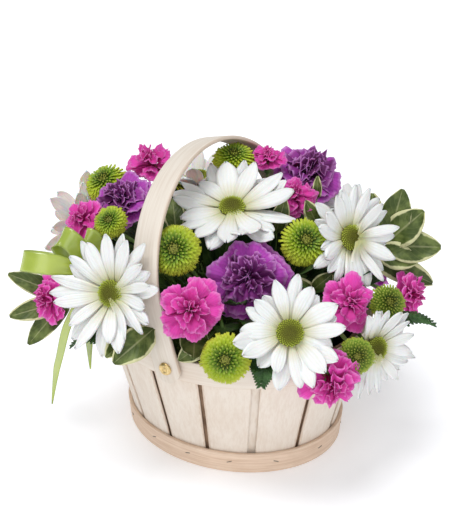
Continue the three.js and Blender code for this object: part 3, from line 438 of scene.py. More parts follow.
def rounded_section(half_across, half_deep, corner, flats):
    """The points of a rectangle with rounded corners, as (across, deep), in order."""
    points = []
    for k, (sx, sy) in enumerate(((1, 1), (-1, 1), (-1, -1), (1, -1))):
        centre = (sx * (half_across - corner), sy * (half_deep - corner))
        for step in range(3):
            turn = pi / 2 * (k + step / 2)
            points.append((centre[0] + corner * cos(turn), centre[1] + corner * sin(turn)))
        if k in (0, 2):
            for step in range(1, flats):
                reach = mix(half_across - corner, corner - half_across, step / flats)
                points.append((reach * sx, sy * half_deep))
    return points


def lay_loop(bm, section, stations, place, tone=0.5):
    """A band whose section closes on itself, placed by section point and station index."""

    def spot(u, v):
        index = round((u + 1) / 2 * len(section)) % len(section)
        return place(*section[index], round(v * stations))

    lay_grid(bm, len(section), stations, spot, tone=tone)


def lay_across(bm, part_at):
    """Gives each corner's UV its part across, from 0 to 1, from its place."""
    uv_layer = bm.loops.layers.uv.active
    for face in bm.faces:
        for loop in face.loops:
            loop[uv_layer].uv.x = part_at(loop.vert.co)


def add_object(name, data):
    made = bpy.data.objects.new(name, data)
    SCENE.collection.objects.link(made)
    return made


def finish_piece(name, bm, finishes, slot, replaced=(), thickness=None, merge=0.004):
    """Closes the seams and makes the mesh a piece in metres that rides on the body."""
    bmesh.ops.remove_doubles(bm, verts=bm.verts, dist=merge)
    bmesh.ops.dissolve_degenerate(bm, edges=bm.edges, dist=merge / 4)
    if thickness is None:
        bmesh.ops.recalc_face_normals(bm, faces=bm.faces)
    bmesh.ops.scale(bm, vec=(0.001, 0.001, 0.001), verts=bm.verts)
    mesh = bpy.data.meshes.new(name)
    bm.to_mesh(mesh)
    bm.free()
    for finish in finishes:
        mesh.materials.append(finish)
    mesh.shade_smooth()
    piece = add_object(name, mesh)
    if thickness:
        sheet = piece.modifiers.new("thickness", "SOLIDIFY")
        sheet.thickness = thickness / 1000
        sheet.offset = 0
    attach(piece, "root")
    if replaced:
        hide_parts(*replaced)
    return piece


# Materials


def srgb(red, green, blue):
    """A colour as it looks on a screen, from 0 to 255, as the linear colour of a shader."""
    return tuple(((part / 255 + 0.055) / 1.055) ** 2.4 for part in (red, green, blue)) + (1,)


class Wire:
    """A value in a material; arithmetic on it adds the Math nodes that work it out."""

    def __init__(self, finish, socket):
        self.finish = finish
        self.socket = socket

    def math(self, operation, *inputs):
        return self.finish.node("ShaderNodeMath", {"operation": operation}, dict(enumerate(inputs)))

    def __add__(self, other):
        return self.math("ADD", self, other)

    def __sub__(self, other):
        return self.math("SUBTRACT", self, other)

    def __rsub__(self, other):
        return self.math("SUBTRACT", other, self)

    def __mul__(self, other):
        return self.math("MULTIPLY", self, other)

    def __abs__(self):
        return self.math("ABSOLUTE", self)

    __radd__ = __add__
    __rmul__ = __mul__

    def sine(self):
        return self.math("SINE", self)

    def between(self, low, high):
        """Rises smoothly from 0 at low to 1 at high."""
        inputs = {"Value": self, "From Min": low, "From Max": high}
        return self.finish.node("ShaderNodeMapRange", {"interpolation_type": "SMOOTHSTEP"}, inputs)

    def under(self, part, tint):
        """This colour with a tint laid over a part of it."""
        return self.finish.blend(part, self, tint)


class Finish:
    """One procedural material, built from nodes."""

    def __init__(self, name, shine=0.3, **constants):
        self.material = bpy.data.materials.new(name)
        self.material.use_nodes = True
        self.tree = self.material.node_tree
        self.shader = self.tree.nodes["Principled BSDF"]
        for socket, value in {"Specular_IOR_Level": shine, **constants}.items():
            self.shader.inputs[socket.replace("_", " ")].default_value = value

    def node(self, kind, settings, inputs, output=0):
        made = self.tree.nodes.new(kind)
        for key, value in settings.items():
            setattr(made, key, value)
        for key, value in inputs.items():
            if isinstance(value, Wire):
                self.tree.links.new(value.socket, made.inputs[key])
            else:
                made.inputs[key].default_value = value
        return Wire(self, made.outputs[output])

    def where(self, scale=(1, 1, 1), output="Object", turn=0.0):
        spot = self.node("ShaderNodeTexCoord", {}, {}, output)
        inputs = {"Vector": spot, "Scale": scale, "Rotation": (0, 0, turn)}
        return self.node("ShaderNodeMapping", {}, inputs)

    def across_along(self):
        """The place on a piece: across, from -1 to 1, and along, from 0 to 1."""
        spot = self.node("ShaderNodeTexCoord", {}, {}, "UV")
        split = self.node("ShaderNodeSeparateXYZ", {}, {0: spot})
        return split * 2 - 1, Wire(self, split.socket.node.outputs[1])

    def tone(self):
        return self.node("ShaderNodeAttribute", {"attribute_name": "tone"}, {}, "Fac")

    def noise(self, where, scale, detail=3, roughness=0.55, distortion=0.0):
        inputs = {"Vector": where, "Scale": scale, "Detail": detail}
        inputs.update({"Roughness": roughness, "Distortion": distortion})
        return self.node("ShaderNodeTexNoise", {}, inputs, "Fac")

    def clouds(self, *settings):
        """Noise of the same size in every direction."""
        return self.noise(self.where(), *settings)

    def ramp(self, value, *stops):
        made = self.node("ShaderNodeValToRGB", {}, {"Fac": value}, "Color")
        elements = made.socket.node.color_ramp.elements
        while len(elements) < len(stops):
            elements.new(1)
        for element, (place, colour) in zip(elements, stops):
            element.position = place
            element.color = colour
        return made

    def blend(self, part, first, second):
        return self.node("ShaderNodeMix", {"data_type": "RGBA"}, {0: part, 6: first, 7: second}, 2)

    def paint(self, colour, roughness, height=None, strength=0.3, distance=0.0005):
        """Joins the colour, roughness and relief to the shader."""
        self.tree.links.new(colour.socket, self.shader.inputs["Base Color"])
        if isinstance(roughness, Wire):
            self.tree.links.new(roughness.socket, self.shader.inputs["Roughness"])
        else:
            self.shader.inputs["Roughness"].default_value = roughness
        if height is not None:
            inputs = {"Strength": strength, "Distance": distance, "Height": height}
            bump = self.node("ShaderNodeBump", {}, inputs, "Normal")
            self.tree.links.new(bump.socket, self.shader.inputs["Normal"])
        return self.material


WOOD_LIGHT = srgb(231, 220, 207)
WOOD_SHADE = srgb(221, 206, 190)
WOOD_BARE = srgb(200, 172, 146)


def whitewashed(name, light, shade, grain_scale, output="UV"):
    """Thin white paint over chipwood: grain shows through and edges wear to bare wood."""
    finish = Finish(name)
    grain = finish.noise(finish.where(grain_scale, output), 1, 4, 0.6, 0.15)
    fine_scale = tuple(part * 3.1 for part in grain_scale)
    streaks = finish.noise(finish.where(fine_scale, output), 1, 2, 0.5)
    lines = (grain * 0.6 + streaks * 0.4).between(0.38, 0.64)
    edge = (abs(finish.across_along()[0]) + (streaks - 0.5) * 0.12).between(0.9, 1.0)
    colour = finish.blend(lines * 0.66, light, shade)
    colour = colour.under(finish.clouds(18, 2).between(0.48, 0.8) * 0.22, WOOD_BARE)
    colour = colour.under(edge * 0.5, WOOD_BARE)
    return finish.paint(colour, 0.6 + lines * 0.16, grain * 0.7 + streaks * 0.5, 0.22, 0.0003)


def wall_and_gap_shade_finish():
    """The inner wall: painted dark shade behind the narrow gaps, whitewashed behind the wide ones.
    """
    finish = Finish("inner_wall_paint_and_gap_shade")
    turned = finish.where(turn=-radians(WIDE_GAP_AZIMUTH))
    aside = finish.node("ShaderNodeSeparateXYZ", {}, {0: turned}, 1)
    grain = finish.noise(finish.where((300, 300, 7)), 1, 4)
    shade = grain.between(0.38, 0.64)
    light = finish.blend(shade, WOOD_LIGHT, WOOD_SHADE)
    # Painted shade: this dark colour stands in for the staves' shadow in the narrow gaps.
    dark = finish.blend(shade, srgb(150, 122, 98), srgb(112, 86, 66))
    colour = finish.blend(abs(aside).between(0.0045, 0.007), light, dark)
    return finish.paint(colour, 0.7, grain, 0.3, 0.0004)


def bare_wood(name, light, shade, grain_scale):
    finish = Finish(name)
    grain = finish.noise(finish.where(grain_scale, "UV"), 1, 4, 0.6, 0.6)
    fleck = finish.noise(finish.where(tuple(part * 2.7 for part in grain_scale), "UV"), 1, 3)
    colour = finish.blend((grain * 0.6 + fleck * 0.4).between(0.36, 0.66), light, shade)
    colour = colour.under(finish.clouds(34, 3).between(0.45, 0.8) * 0.3, srgb(184, 150, 122))
    return finish.paint(colour, 0.7, grain + fleck * 0.5, 0.4, 0.0004)


def brass_finish():
    finish = Finish("rivet_brass", 0.5, Metallic=1.0)
    worn = finish.clouds(900, 3)
    colour = finish.blend(worn.between(0.35, 0.7), srgb(212, 182, 122), srgb(232, 210, 158))
    colour = colour.under(finish.clouds(260, 2).between(0.5, 0.75) * 0.7, srgb(136, 106, 66))
    return finish.paint(colour, 0.26 + worn * 0.2, worn, 0.15, 0.0002)


def steel_finish():
    finish = Finish("staple_steel", 0.5, Metallic=1.0)
    spots = finish.clouds(1200, 2)
    colour = finish.blend(spots.between(0.4, 0.7), srgb(150, 142, 132), srgb(112, 98, 84))
    return finish.paint(colour, 0.35 + spots * 0.2)


def petal_finish(name, base, middle, tip, through):
    """White ray petals: greenish cream at the root, with fine grooves along their length and
    painted shade in the grooves near the root.
    """
    finish = Finish(name, Subsurface_Weight=through, Subsurface_Scale=0.002)
    across, along = finish.across_along()
    mottle = finish.clouds(160, 3)
    grooves = (across * 17 + (mottle - 0.5) * 2).sine()
    # Painted shade: the grooves near the root darken towards the base colour.
    root_groove_shade = grooves.between(0.2, 1.0) * (1 - along.between(0.1, 0.7))
    colour = finish.ramp(along, (0.06, base), (0.24, middle), (0.4, tip), (1.0, tip))
    colour = colour.under(mottle.between(0.45, 0.8) * 0.25, middle).under(root_groove_shade * 0.2, base)
    return finish.paint(colour, 0.5, grooves * 0.5 + mottle * 0.3, 0.4, 0.0003)


def disc_finish():
    """The florets of a daisy's disc: olive at the heart, paler towards its edge."""
    finish = Finish("daisy_disc")
    dots = finish.clouds(520, 2)
    colour = finish.ramp(
        finish.tone() + (dots - 0.5) * 0.24,
        (0.0, srgb(84, 80, 24)),
        (0.3, srgb(92, 90, 26)),
        (0.5, srgb(112, 116, 34)),
        (0.75, srgb(150, 160, 52)),
        (1.0, srgb(182, 194, 80)),
    )
    return finish.paint(colour, 0.7, dots, 0.3, 0.0003)


def green_finish(name, light, dark, gloss=0.5):
    """Stems and calyxes: streaked along, with darker clouds."""
    finish = Finish(name, 0.4)
    streak = finish.noise(finish.where((220, 220, 60)), 1, 3)
    colour = finish.blend(streak.between(0.35, 0.65), light, dark)
    colour = colour.under(finish.clouds(60, 2).between(0.4, 0.8) * 0.4, dark)
    return finish.paint(colour, gloss, streak, 0.2, 0.0003)


def ruffle_finish(name, deep, body, edge, heart):
    """Carnation petals: painted shade deep in the folds and over the crumpled heart, a painted
    highlight paler at the fringe, with radiating veins.
    """
    finish = Finish(name, 0.25, Subsurface_Weight=0.08, Subsurface_Scale=0.0015)
    across, along = finish.across_along()
    mottle = finish.clouds(220, 3)
    veins = (across * 40 + mottle * 5).sine()
    # Painted shade: inner crumpled petals, whose tone is low, darken towards the deep colour by
    # heart.
    inner = (1 - finish.tone().between(0.15, 0.85)) * (1 - along.between(0.93, 1.0) * 0.8)
    stops = ((0.25, deep), (0.6, body), (0.92, body), (1.0, edge))
    colour = finish.ramp(along + (mottle - 0.5) * 0.1, *stops)
    colour = colour.under(veins.between(0.3, 1.0) * 0.16, deep).under(inner * heart, deep)
    return finish.paint(colour, 0.6, veins * 0.4 + mottle * 0.6, 0.3, 0.0003)


def floret_finish():
    """Button florets: green at the heart, lime outwards, with paler tips and painted shade at their
    roots, in the gaps between them.
    """
    finish = Finish("button_floret", 0.35)
    along = finish.across_along()[1]
    tone = finish.tone()
    mottle = finish.clouds(300, 2)
    # Painted shade: dark green at the florets' roots, in the gaps between them, less on the outer
    # ones.
    root_gap_shade = (1 - along.between(0.15, 0.65)) * (1 - tone.between(0.3, 0.8) * 0.55)
    colour = finish.ramp(
        tone + (mottle - 0.5) * 0.15,
        (0.0, srgb(84, 82, 22)),
        (0.12, srgb(94, 116, 24)),
        (0.3, srgb(118, 158, 34)),
        (0.5, srgb(178, 200, 36)),
        (1.0, srgb(204, 208, 48)),
    )
    colour = colour.under(along.between(0.6, 1.0) * 0.4, srgb(218, 222, 96))
    return finish.paint(colour.under(root_gap_shade * 0.9, srgb(40, 70, 10)), 0.5, mottle, 0.2, 0.0003)


def leaf_finish(name, deep, body, margin, margin_from):
    """A leaf with a pale midrib, side veins, green blotches and an uneven margin."""
    finish = Finish(name, 0.32)
    across, along = finish.across_along()
    aside = abs(across)
    blotch = finish.clouds(95, 3)
    veins = (aside * 16 - along * 46 + (blotch - 0.5) * 3).sine()
    rim = aside + (blotch - 0.5) * 0.5 + (finish.tone() - 0.5) * 0.3
    colour = finish.blend(blotch.between(0.4, 0.65), deep, body)
    colour = colour.under(veins.between(0.82, 1.0) * 0.3, body)
    colour = colour.under((1 - aside.between(0.02, 0.09)) * 0.22, margin)
    colour = colour.under(rim.between(margin_from, margin_from + 0.1) * 0.88, margin)
    height = veins * 0.35 + finish.clouds(420, 3) * 0.5 + aside.between(0.0, 0.12)
    return finish.paint(colour, 0.46, height, 0.35, 0.0005)


def fern_finish():
    finish = Finish("fern_leaf", 0.4)
    across, along = finish.across_along()
    clouds = finish.clouds(130, 3)
    veins = (abs(across) * 9 - along * 60).sine()
    colour = finish.blend(clouds.between(0.35, 0.65), srgb(34, 66, 28), srgb(58, 96, 44))
    colour = colour.under((1 - abs(across).between(0.04, 0.16)) * 0.4, srgb(86, 122, 60))
    return finish.paint(colour, 0.45, veins * 0.5 + clouds, 0.3, 0.0004)


def moss_finish():
    finish = Finish("foam_moss", 0.2)
    clouds = finish.clouds(70, 4)
    fine = finish.clouds(600, 3)
    colour = finish.blend(clouds.between(0.35, 0.65), srgb(34, 52, 20), srgb(78, 96, 40))
    colour = colour.under(fine.between(0.4, 0.8) * 0.5, srgb(24, 38, 14))
    colour = colour.under(finish.tone().between(0.6, 1.0) * 0.4, srgb(120, 134, 62))
    return finish.paint(colour, 0.9, fine + clouds * 0.5, 0.6, 0.001)


def liner_finish():
    finish = Finish("liner_film", 0.5)
    creases = finish.clouds(60, 3, 0.5, 1.2)
    colour = finish.blend(creases.between(0.3, 0.7), srgb(34, 44, 28), srgb(60, 74, 48))
    return finish.paint(colour, 0.35 + creases * 0.2, creases, 0.5, 0.001)


def satin_finish():
    """Satin ribbon: a fine warp along its length and a woven edge."""
    finish = Finish("ribbon_satin", 1.0)
    across = finish.across_along()[0]
    warp = (across * 150).sine()
    shade = finish.clouds(45, 2)
    edge = abs(across).between(0.88, 0.97)
    colour = finish.blend(shade.between(0.35, 0.7), srgb(174, 190, 76), srgb(146, 166, 54))
    colour = colour.under(edge * 0.4, srgb(126, 148, 46))
    return finish.paint(colour, 0.2 + edge * 0.2, warp * 0.5 + edge, 0.08, 0.0002)


STAVE_PAINT = whitewashed("stave_whitewash", WOOD_LIGHT, WOOD_SHADE, (300, 300, 7), "Object")
HOOP_PAINT = whitewashed("hoop_whitewash", WOOD_LIGHT, WOOD_SHADE, (11, 9, 1))
HANDLE_PAINT = whitewashed(
    "handle_whitewash", srgb(229, 220, 208), srgb(215, 202, 187), (8, 5, 1)
)
# The handle's inner face: darker, partly bare wood and partly painted shade.
HANDLE_INSIDE_BARE_AND_SHADED = whitewashed("handle_inside_bare_and_shaded", srgb(186, 170, 152), srgb(160, 143, 124), (8, 5, 1))
WALL_PAINT_AND_GAP_SHADE = wall_and_gap_shade_finish()
HOOP_WOOD = bare_wood("base_hoop_wood", srgb(236, 212, 190), srgb(216, 186, 160), (11, 8, 1))
BOARD_WOOD = bare_wood("base_board_wood", srgb(214, 186, 156), srgb(190, 158, 126), (4, 60, 1))
PETAL_WHITE = petal_finish(
    "daisy_petal_white", srgb(190, 190, 128), srgb(226, 222, 206), srgb(238, 237, 236), 0.12
)
# Petals seen from behind: pinkish, and lightened as painted light for light shining through their
# shaded backs.
PETAL_BLUSH_AND_BACKLIGHT = petal_finish(
    "daisy_petal_blush_and_backlight", srgb(226, 206, 184), srgb(250, 230, 226), srgb(252, 242, 240), 0.5
)
STEM_GREEN = green_finish("stem_green", srgb(112, 138, 66), srgb(70, 98, 40))
CALYX_GREEN = green_finish("calyx_green", srgb(126, 156, 92), srgb(80, 112, 58))
WIRE_GREEN = green_finish("pick_wire_green", srgb(96, 122, 60), srgb(64, 88, 40), 0.35)
DISC_YELLOW = disc_finish()
# Carnations: deep is painted shade in the folds and heart, edge a painted highlight on the fringe;
# the last number is how much painted shade covers the heart.
PURPLE = ruffle_finish(
    "carnation_purple_petal", srgb(60, 0, 50), srgb(174, 66, 174), srgb(212, 142, 214), 0.9
)
MAGENTA = ruffle_finish(
    "carnation_magenta_petal", srgb(154, 6, 78), srgb(228, 72, 178), srgb(240, 132, 206), 0.62
)
BUTTON_LIME = floret_finish()
LEAF_CREAM = leaf_finish(
    "leaf_cream_margin", srgb(64, 80, 30), srgb(108, 122, 62), srgb(222, 220, 170), 0.78
)
LEAF_DARK = leaf_finish("leaf_dark", srgb(34, 56, 24), srgb(62, 88, 38), srgb(110, 130, 70), 1.25)
FERN_GREEN = fern_finish()
MOSS = moss_finish()
LINER_FILM = liner_finish()
SATIN = satin_finish()
BRASS = brass_finish()
STEEL = steel_finish()

# The basket


def oval_at(height):
    return mix(OVAL_AT_BASE, OVAL_AT_RIM, height / BASKET_HEIGHT)


def wall_radius(height):
    """The long radius of the staves' outer face at a height."""
    for low, high, first, second in zip(WALL_BENDS, WALL_BENDS[1:], WALL_RADII, WALL_RADII[1:]):
        if height <= high:
            return mix(first, second, (height - low) / (high - low))
    return WALL_RADII[-1]


def on_wall(azimuth, height, depth):
    """A point of the wall at a true azimuth in radians, that far behind the staves' face."""
    flat = oval_at(height)
    turn = atan2(sin(azimuth) / flat, cos(azimuth))
    return around(wall_radius(height) - depth, turn, height, flat)


def make_staves():
    """Each stave: a curved board with rounded edges, a little uneven, from base to rim."""
    half_turn = pi / STAVE_COUNT
    section = rounded_section(1, STAVE_THICKNESS / 2 - 0.05, 0.02, 8)
    gaps = [WIDE_STAVE_GAP if i in WIDE_GAP_AFTER else STAVE_GAP for i in range(STAVE_COUNT)]
    for i in range(STAVE_COUNT):
        middle = 2 * i * half_turn - pi / 2
        draw = Random(f"stave {i}")
        waver = draw.uniform(0, 6.28)

        def place(across, deep, row):
            part = row / STAVE_ROWS
            height = mix(0.3, STAVE_TOP - 0.3, part)
            if row in (0, STAVE_ROWS):
                deep *= 0.3
            reach = on_wall(middle + across * half_turn, height, 1).xy.length
            side_gap = asin(((gaps[i] if across > 0 else gaps[i - 1]) / 2 + 0.05) / reach)
            waviness = 0.002 * sin(part * 7 + waver) * abs(across)
            azimuth = middle + across * (half_turn - side_gap - abs(waviness))
            round_off = 0.35 * smooth(abs(across), 0.93, 1) * (1 if deep > 0 else -1)
            return on_wall(azimuth, height, STAVE_THICKNESS / 2 - deep + round_off)

        def part_across(spot):
            turned = (atan2(spot.y, spot.x) - middle + pi) % (2 * pi) - pi
            return 0.5 + 0.5 * clamp(turned / (half_turn * 0.87), -1)

        bm = new_mesh()
        lay_loop(bm, section, STAVE_ROWS, place, draw.random())
        lay_across(bm, part_across)
        name = f"stave_{i + 1:02d}"
        finish_piece(f"{name}_board", bm, [STAVE_PAINT], "painted_wood", [name])


def make_hoop(name, low, high, finish, slot, seed):
    """A hoop of thin wood with rounded edges round the staves."""
    section = rounded_section((high - low) / 2, HOOP_THICKNESS / 2, 0.7, 5)

    def place(up, out, station):
        azimuth = 2 * pi * station / HOOP_STATIONS
        wobble = 0.22 * sin(3 * azimuth + seed) * smooth(abs(up) / (high - low) * 2, 0.5, 1)
        height = clamp((low + high) / 2 + up + wobble * (1 if up > 0 else 0), low, high)
        return on_wall(azimuth, height, -(GAP + HOOP_THICKNESS / 2 + out))

    bm = new_mesh()
    lay_loop(bm, section, HOOP_STATIONS, place)
    lay_across(bm, lambda spot: (spot.z - low) / (high - low))
    finish_piece(f"{name}_wood", bm, [finish], slot, [name])


def handle_point(reach, rise, side):
    return Vector((0, reach, RIVET_HEIGHT)) + HANDLE_ALONG * rise + HANDLE_ACROSS * side


def handle_line(legs, arch):
    """The middle of the strip as (reach, rise, outward reach, outward rise)."""
    bottom = -HANDLE_WIDTH / 2 - HANDLE_END_DROP
    tall = HANDLE_HEIGHT - HANDLE_LEG
    leg = [(-HANDLE_REACH, mix(bottom, HANDLE_LEG, (i / legs) ** 1.4), -1, 0) for i in range(legs)]
    line = list(leg)
    for i in range(arch + 1):
        turn = pi * (1 - i / arch)
        out = Vector((cos(turn) / HANDLE_REACH, sin(turn) / tall)).normalized()
        rise = HANDLE_LEG + tall * max(0.0, sin(turn)) ** HANDLE_ARCH_POWER
        line.append((HANDLE_REACH * cos(turn), rise, out.x, out.y))
    return line + [(-reach, rise, -out, out_rise) for reach, rise, out, out_rise in reversed(leg)]


def make_handle():
    """The strip from rivet to rivet, whitewashed outside; darker inside, as bare wood with painted
    shade.
    """
    line = handle_line(18, 56)
    section = rounded_section(1, HANDLE_THICKNESS / 2, 0.08, 6)

    def place(across, deep, station):
        reach, rise, out_reach, out_rise = line[station]
        below = max(0.0, -HANDLE_END_DROP - rise)
        half = sqrt(max(0.0, (HANDLE_WIDTH / 2) ** 2 - below**2))
        uneven = 0.25 * sin(station * 0.21) + 0.15 * sin(station * 0.53 + 1)
        deep -= 0.4 * smooth(abs(across), 0.9, 1) * (1 if deep > 0 else -1)
        side = across * (half + min(0.0, uneven))
        return handle_point(reach + out_reach * deep, rise + out_rise * deep, side)

    def part_across(spot):
        side = (spot - Vector((0, 0, RIVET_HEIGHT))).dot(HANDLE_ACROSS) / (HANDLE_WIDTH / 2)
        return 0.5 + 0.5 * clamp(side, -1)

    bm = new_mesh()
    lay_loop(bm, section, len(line) - 1, place)
    lay_across(bm, part_across)
    bm.normal_update()
    bmesh.ops.remove_doubles(bm, verts=bm.verts, dist=0.004)
    bmesh.ops.recalc_face_normals(bm, faces=bm.faces)
    inside = handle_point(0, 40, 0)
    for face in bm.faces:
        outward = face.calc_center_median() - inside
        # Faces turned inwards take the darker finish: bare wood with painted shade.
        face.material_index = 1 if face.normal.dot(outward) < -1 else 0
    finish_piece("handle_strip", bm, [HANDLE_PAINT, HANDLE_INSIDE_BARE_AND_SHADED], "painted_wood", ["handle"])


def make_rivets():
    head = HANDLE_INNER_REACH + HANDLE_THICKNESS + GAP
    for name, sign in (("rivet_near", -1), ("rivet_far", 1)):
        place = frame_at(Vector((0, sign * head, RIVET_HEIGHT)), Vector((0, sign, 0)))
        bm = new_mesh()
        lay_turned(bm, RIVET_PROFILE, 28, place)
        finish_piece(f"{name}_head", bm, [BRASS], "brass", [name])


def make_staples():
    """A wire staple through the base hoop at each stave, and some in the rim hoop."""
    bm = new_mesh()
    outside = -(GAP + HOOP_THICKNESS)
    depths = (outside + 1.2, outside - STAPLE_WIRE * 0.6)
    for i in range(STAVE_COUNT):
        draw = Random(f"staple {i}")
        middle = 2 * i * pi / STAVE_COUNT - pi / 2
        for height in STAPLE_HEIGHTS if i % 3 == 1 else STAPLE_HEIGHTS[:1]:
            tilt = draw.uniform(-0.9, 0.9)
            azimuth = middle + draw.uniform(-0.02, 0.02)
            ends = []
            for side in (-1, 1):
                turn = side * STAPLE_WIDTH / 2 / on_wall(azimuth, height, 0).xy.length
                ends += [on_wall(azimuth + turn, height + tilt * side, depth) for depth in depths]
            line = [ends[0], ends[1], ends[1].lerp(ends[3], 0.5), ends[3], ends[2]]
            lay_tube(bm, line, STAPLE_WIRE, 6)
    finish_piece("hoop_staples", bm, [STEEL], "brass")


# Stems


def bezier(first, second, third, fourth, part):
    rest = 1 - part
    start = first * rest**3 + second * 3 * rest**2 * part
    return start + third * 3 * rest * part**2 + fourth * part**3


def stem_line(entry, end, arriving, low=False, steps=14, rooted=True):
    """The bow of a stem from its hole in the foam to a point that it meets along a direction."""
    pull = STEM_FOOT_PULL
    foot = Vector((entry.x * pull, entry.y * pull, entry.z - STEM_DEPTH))
    rise = (entry - foot).normalized()
    mouth = entry + rise * 4
    span = (end - mouth).length
    climb = 5 if low else max(0, OVER_RIM_HEIGHT - end.z) * 0.5
    second = mouth + rise * (6 if low else span * 0.35 + climb * 0.3)
    third = end - arriving * (span * 0.3) + Vector((0, 0, climb))
    line = [bezier(mouth, second, third, end, i / steps) for i in range(steps + 1)]
    return [foot, *line] if rooted else line


def back_depth(bloom):
    """How far the green of a head reaches behind it."""
    if bloom.kind == "daisy":
        return DAISY_DEPTH
    if bloom.kind == "button":
        return bloom.radius * 0.45
    return bloom.radius * 0.42 + CALYX_LENGTH


# What petals and loose leaves have to clear, as balls: the other heads and the handle


def head_balls(but=None):
    balls = []
    for name, bloom in BLOOMS.items():
        centre = polar(*bloom.at)
        if bloom.kind == "carnation":
            centre = centre + aim(*bloom.face) * bloom.radius * 0.05
        if name != but:
            size = DISC_RADIUS + 1.5 if bloom.kind == "daisy" else bloom.radius + 2
            balls.append((centre, size))
    return balls


def handle_balls():
    spots = [(reach, rise, side) for reach, rise, _, _ in handle_line(4, 18) for side in (-5, 5)]
    return [(handle_point(*spot), HANDLE_CLEARANCE) for spot in spots]


def clearance(point, direction, balls):
    """How far a point moves along a direction, either way, to leave every ball."""
    shift = 0
    for centre, radius in balls:
        offset = point + direction * shift - centre
        along = offset.dot(direction)
        inside = radius * radius - offset.length_squared
        if inside <= 0:
            continue
        root = sqrt(inside + along * along)
        shift += root - along if along > 0 else -root - along
    return shift


# Daisies


def ray_width(part, tip):
    """The half width of a ray petal along it, as a part of its widest; its last part is the tip."""
    body = sin(pi * (0.07 + 0.77 * part**1.22))
    if part <= 1 - tip:
        return body
    return body * max(0.18, sqrt(max(0.0, 1 - ((part - 1 + tip) / tip) ** 2)))


def ray_spine(place, facing, turn, upper, reach, cup, curl, veil, balls):
    """The middles of a petal's rows, bent along the way it faces to clear what it meets."""
    rows = [1 - (1 - i / RAY_ROWS) ** 1.35 for i in range(RAY_ROWS + 1)]
    flat, shifts = [], []
    for part in rows:
        radius = mix(mix(5.2, 2.4, veil), reach, part)
        height = UPPER_RAYS if upper else LOWER_RAYS
        height = height + VEIL_RISE * veil * (1 - smooth(radius, 3, 17))
        height += cup * max(0, radius - 10) * (1 - 0.25 * part) + curl * part**2
        point = place @ around(radius, turn, height)
        flat.append(point)
        near = smooth(radius, DISC_RADIUS, DISC_RADIUS + 8)
        shifts.append(clearance(point, facing, balls) * near if radius > DISC_RADIUS else 0)
    for _ in range(3):
        eased = list(shifts)
        for i in range(2, len(rows) - 1):
            beside = (shifts[i - 1] + shifts[i + 1]) / 2
            eased[i] = beside if abs(beside) > abs(shifts[i]) else shifts[i]
        if abs(eased[-2]) > abs(eased[-1]):
            eased[-1] = eased[-2] * 0.95
        shifts = eased
    return rows, [point + facing * shift for point, shift in zip(flat, shifts)]


def lay_ray(bm, bloom, radius, place, turn, upper, veil, draw, balls):
    """One ray petal: grooved, a little twisted and bent, with a notch in its rounded tip."""
    facing = aim(*bloom.face)
    reach = radius * (1 - 0.24 * draw.random() ** 1.4) - (2 if upper else 0)
    cup = tan(radians(bloom.cup + (6 if upper else -2) + draw.uniform(-6, 6)))
    curl = draw.uniform(-5, 3)
    rows, spine = ray_spine(place, facing, turn, upper, reach, cup, curl, veil, balls)
    outward = place.to_3x3() @ around(1, turn)
    across = place.to_3x3() @ Vector((-sin(turn), cos(turn), 0))
    twist = radians(draw.uniform(-24, 24))
    widest = draw.uniform(4.6, 7.0) * min(1, USUAL_RAYS / bloom.rays) ** 1.3 * max(0.9, radius / 39)
    bend = draw.uniform(-3.2, 3.2)
    notch = draw.uniform(0.0, 1.5)
    fold = draw.uniform(-0.6, 1.5)
    tip = draw.uniform(0.14, 0.36)

    def spot(u, v):
        row = round(v * RAY_ROWS)
        part = rows[row]
        along = (spine[min(row + 1, RAY_ROWS)] - spine[max(row - 1, 0)]).normalized()
        side = Matrix.Rotation(twist * part, 3, outward) @ across
        side = (side - along * side.dot(along)).normalized()
        over = along.cross(side) * -1
        if over.dot(facing) < 0:
            over.negate()
        groove = 0.42 * cos(u * 3 * pi) * smooth(part, 0, 0.2)
        crown = (fold * (1 - u * u) + groove) * smooth(part, 0, 0.15)
        trim = -notch * exp(-((u / 0.3) ** 2)) * smooth(part, 0.9, 1)
        half = widest * ray_width(part, tip)
        return spine[row] + side * (u * half + bend * part**2) + over * crown + along * trim

    lay_grid(bm, RAY_COLUMNS, RAY_ROWS, spot, tone=draw.random())


def make_daisy_rays(name):
    """The white petals of a daisy, in two layers, where its head leaves them free."""
    bloom = BLOOMS[name]._replace(**SEEN_FROM_BEHIND.get(name, {}))
    longest = RAY_REACH.get(name, bloom.radius)
    place = head_frame(bloom)
    balls = head_balls(name) + handle_balls()
    middle, spread, most, shortening = VEILS.get(name, (0, 0, 0, 0))
    draw = Random(name)
    bm = new_mesh()
    for i in range(bloom.rays):
        azimuth = (i + 0.4 * (draw.random() - 0.5)) * 360 / bloom.rays
        if bloom.bare and bloom.bare[0] < azimuth < bloom.bare[1]:
            continue
        from_middle = abs((azimuth - middle + 180) % 360 - 180)
        veil = draw.uniform(0.6, 1.05) * most if from_middle < spread else 0
        radius = longest * (1 - shortening * veil)
        lay_ray(bm, bloom, radius, place, radians(azimuth), i % 2 == 0, veil, draw, balls)
    # Petals that show their shaded backs take the pinkish copy with painted light.
    finish = PETAL_BLUSH_AND_BACKLIGHT if name in SEEN_FROM_BEHIND else PETAL_WHITE
    finish_piece(f"{name}_rays", bm, [finish], "daisy_petal", [f"{name}_petals"], 0.45)


def disc_height(radius):
    return 3.4 * (1 - (radius / DOME_RADIUS) ** 2) + 0.3 - 0.9 * exp(-((radius / 2.4) ** 2))


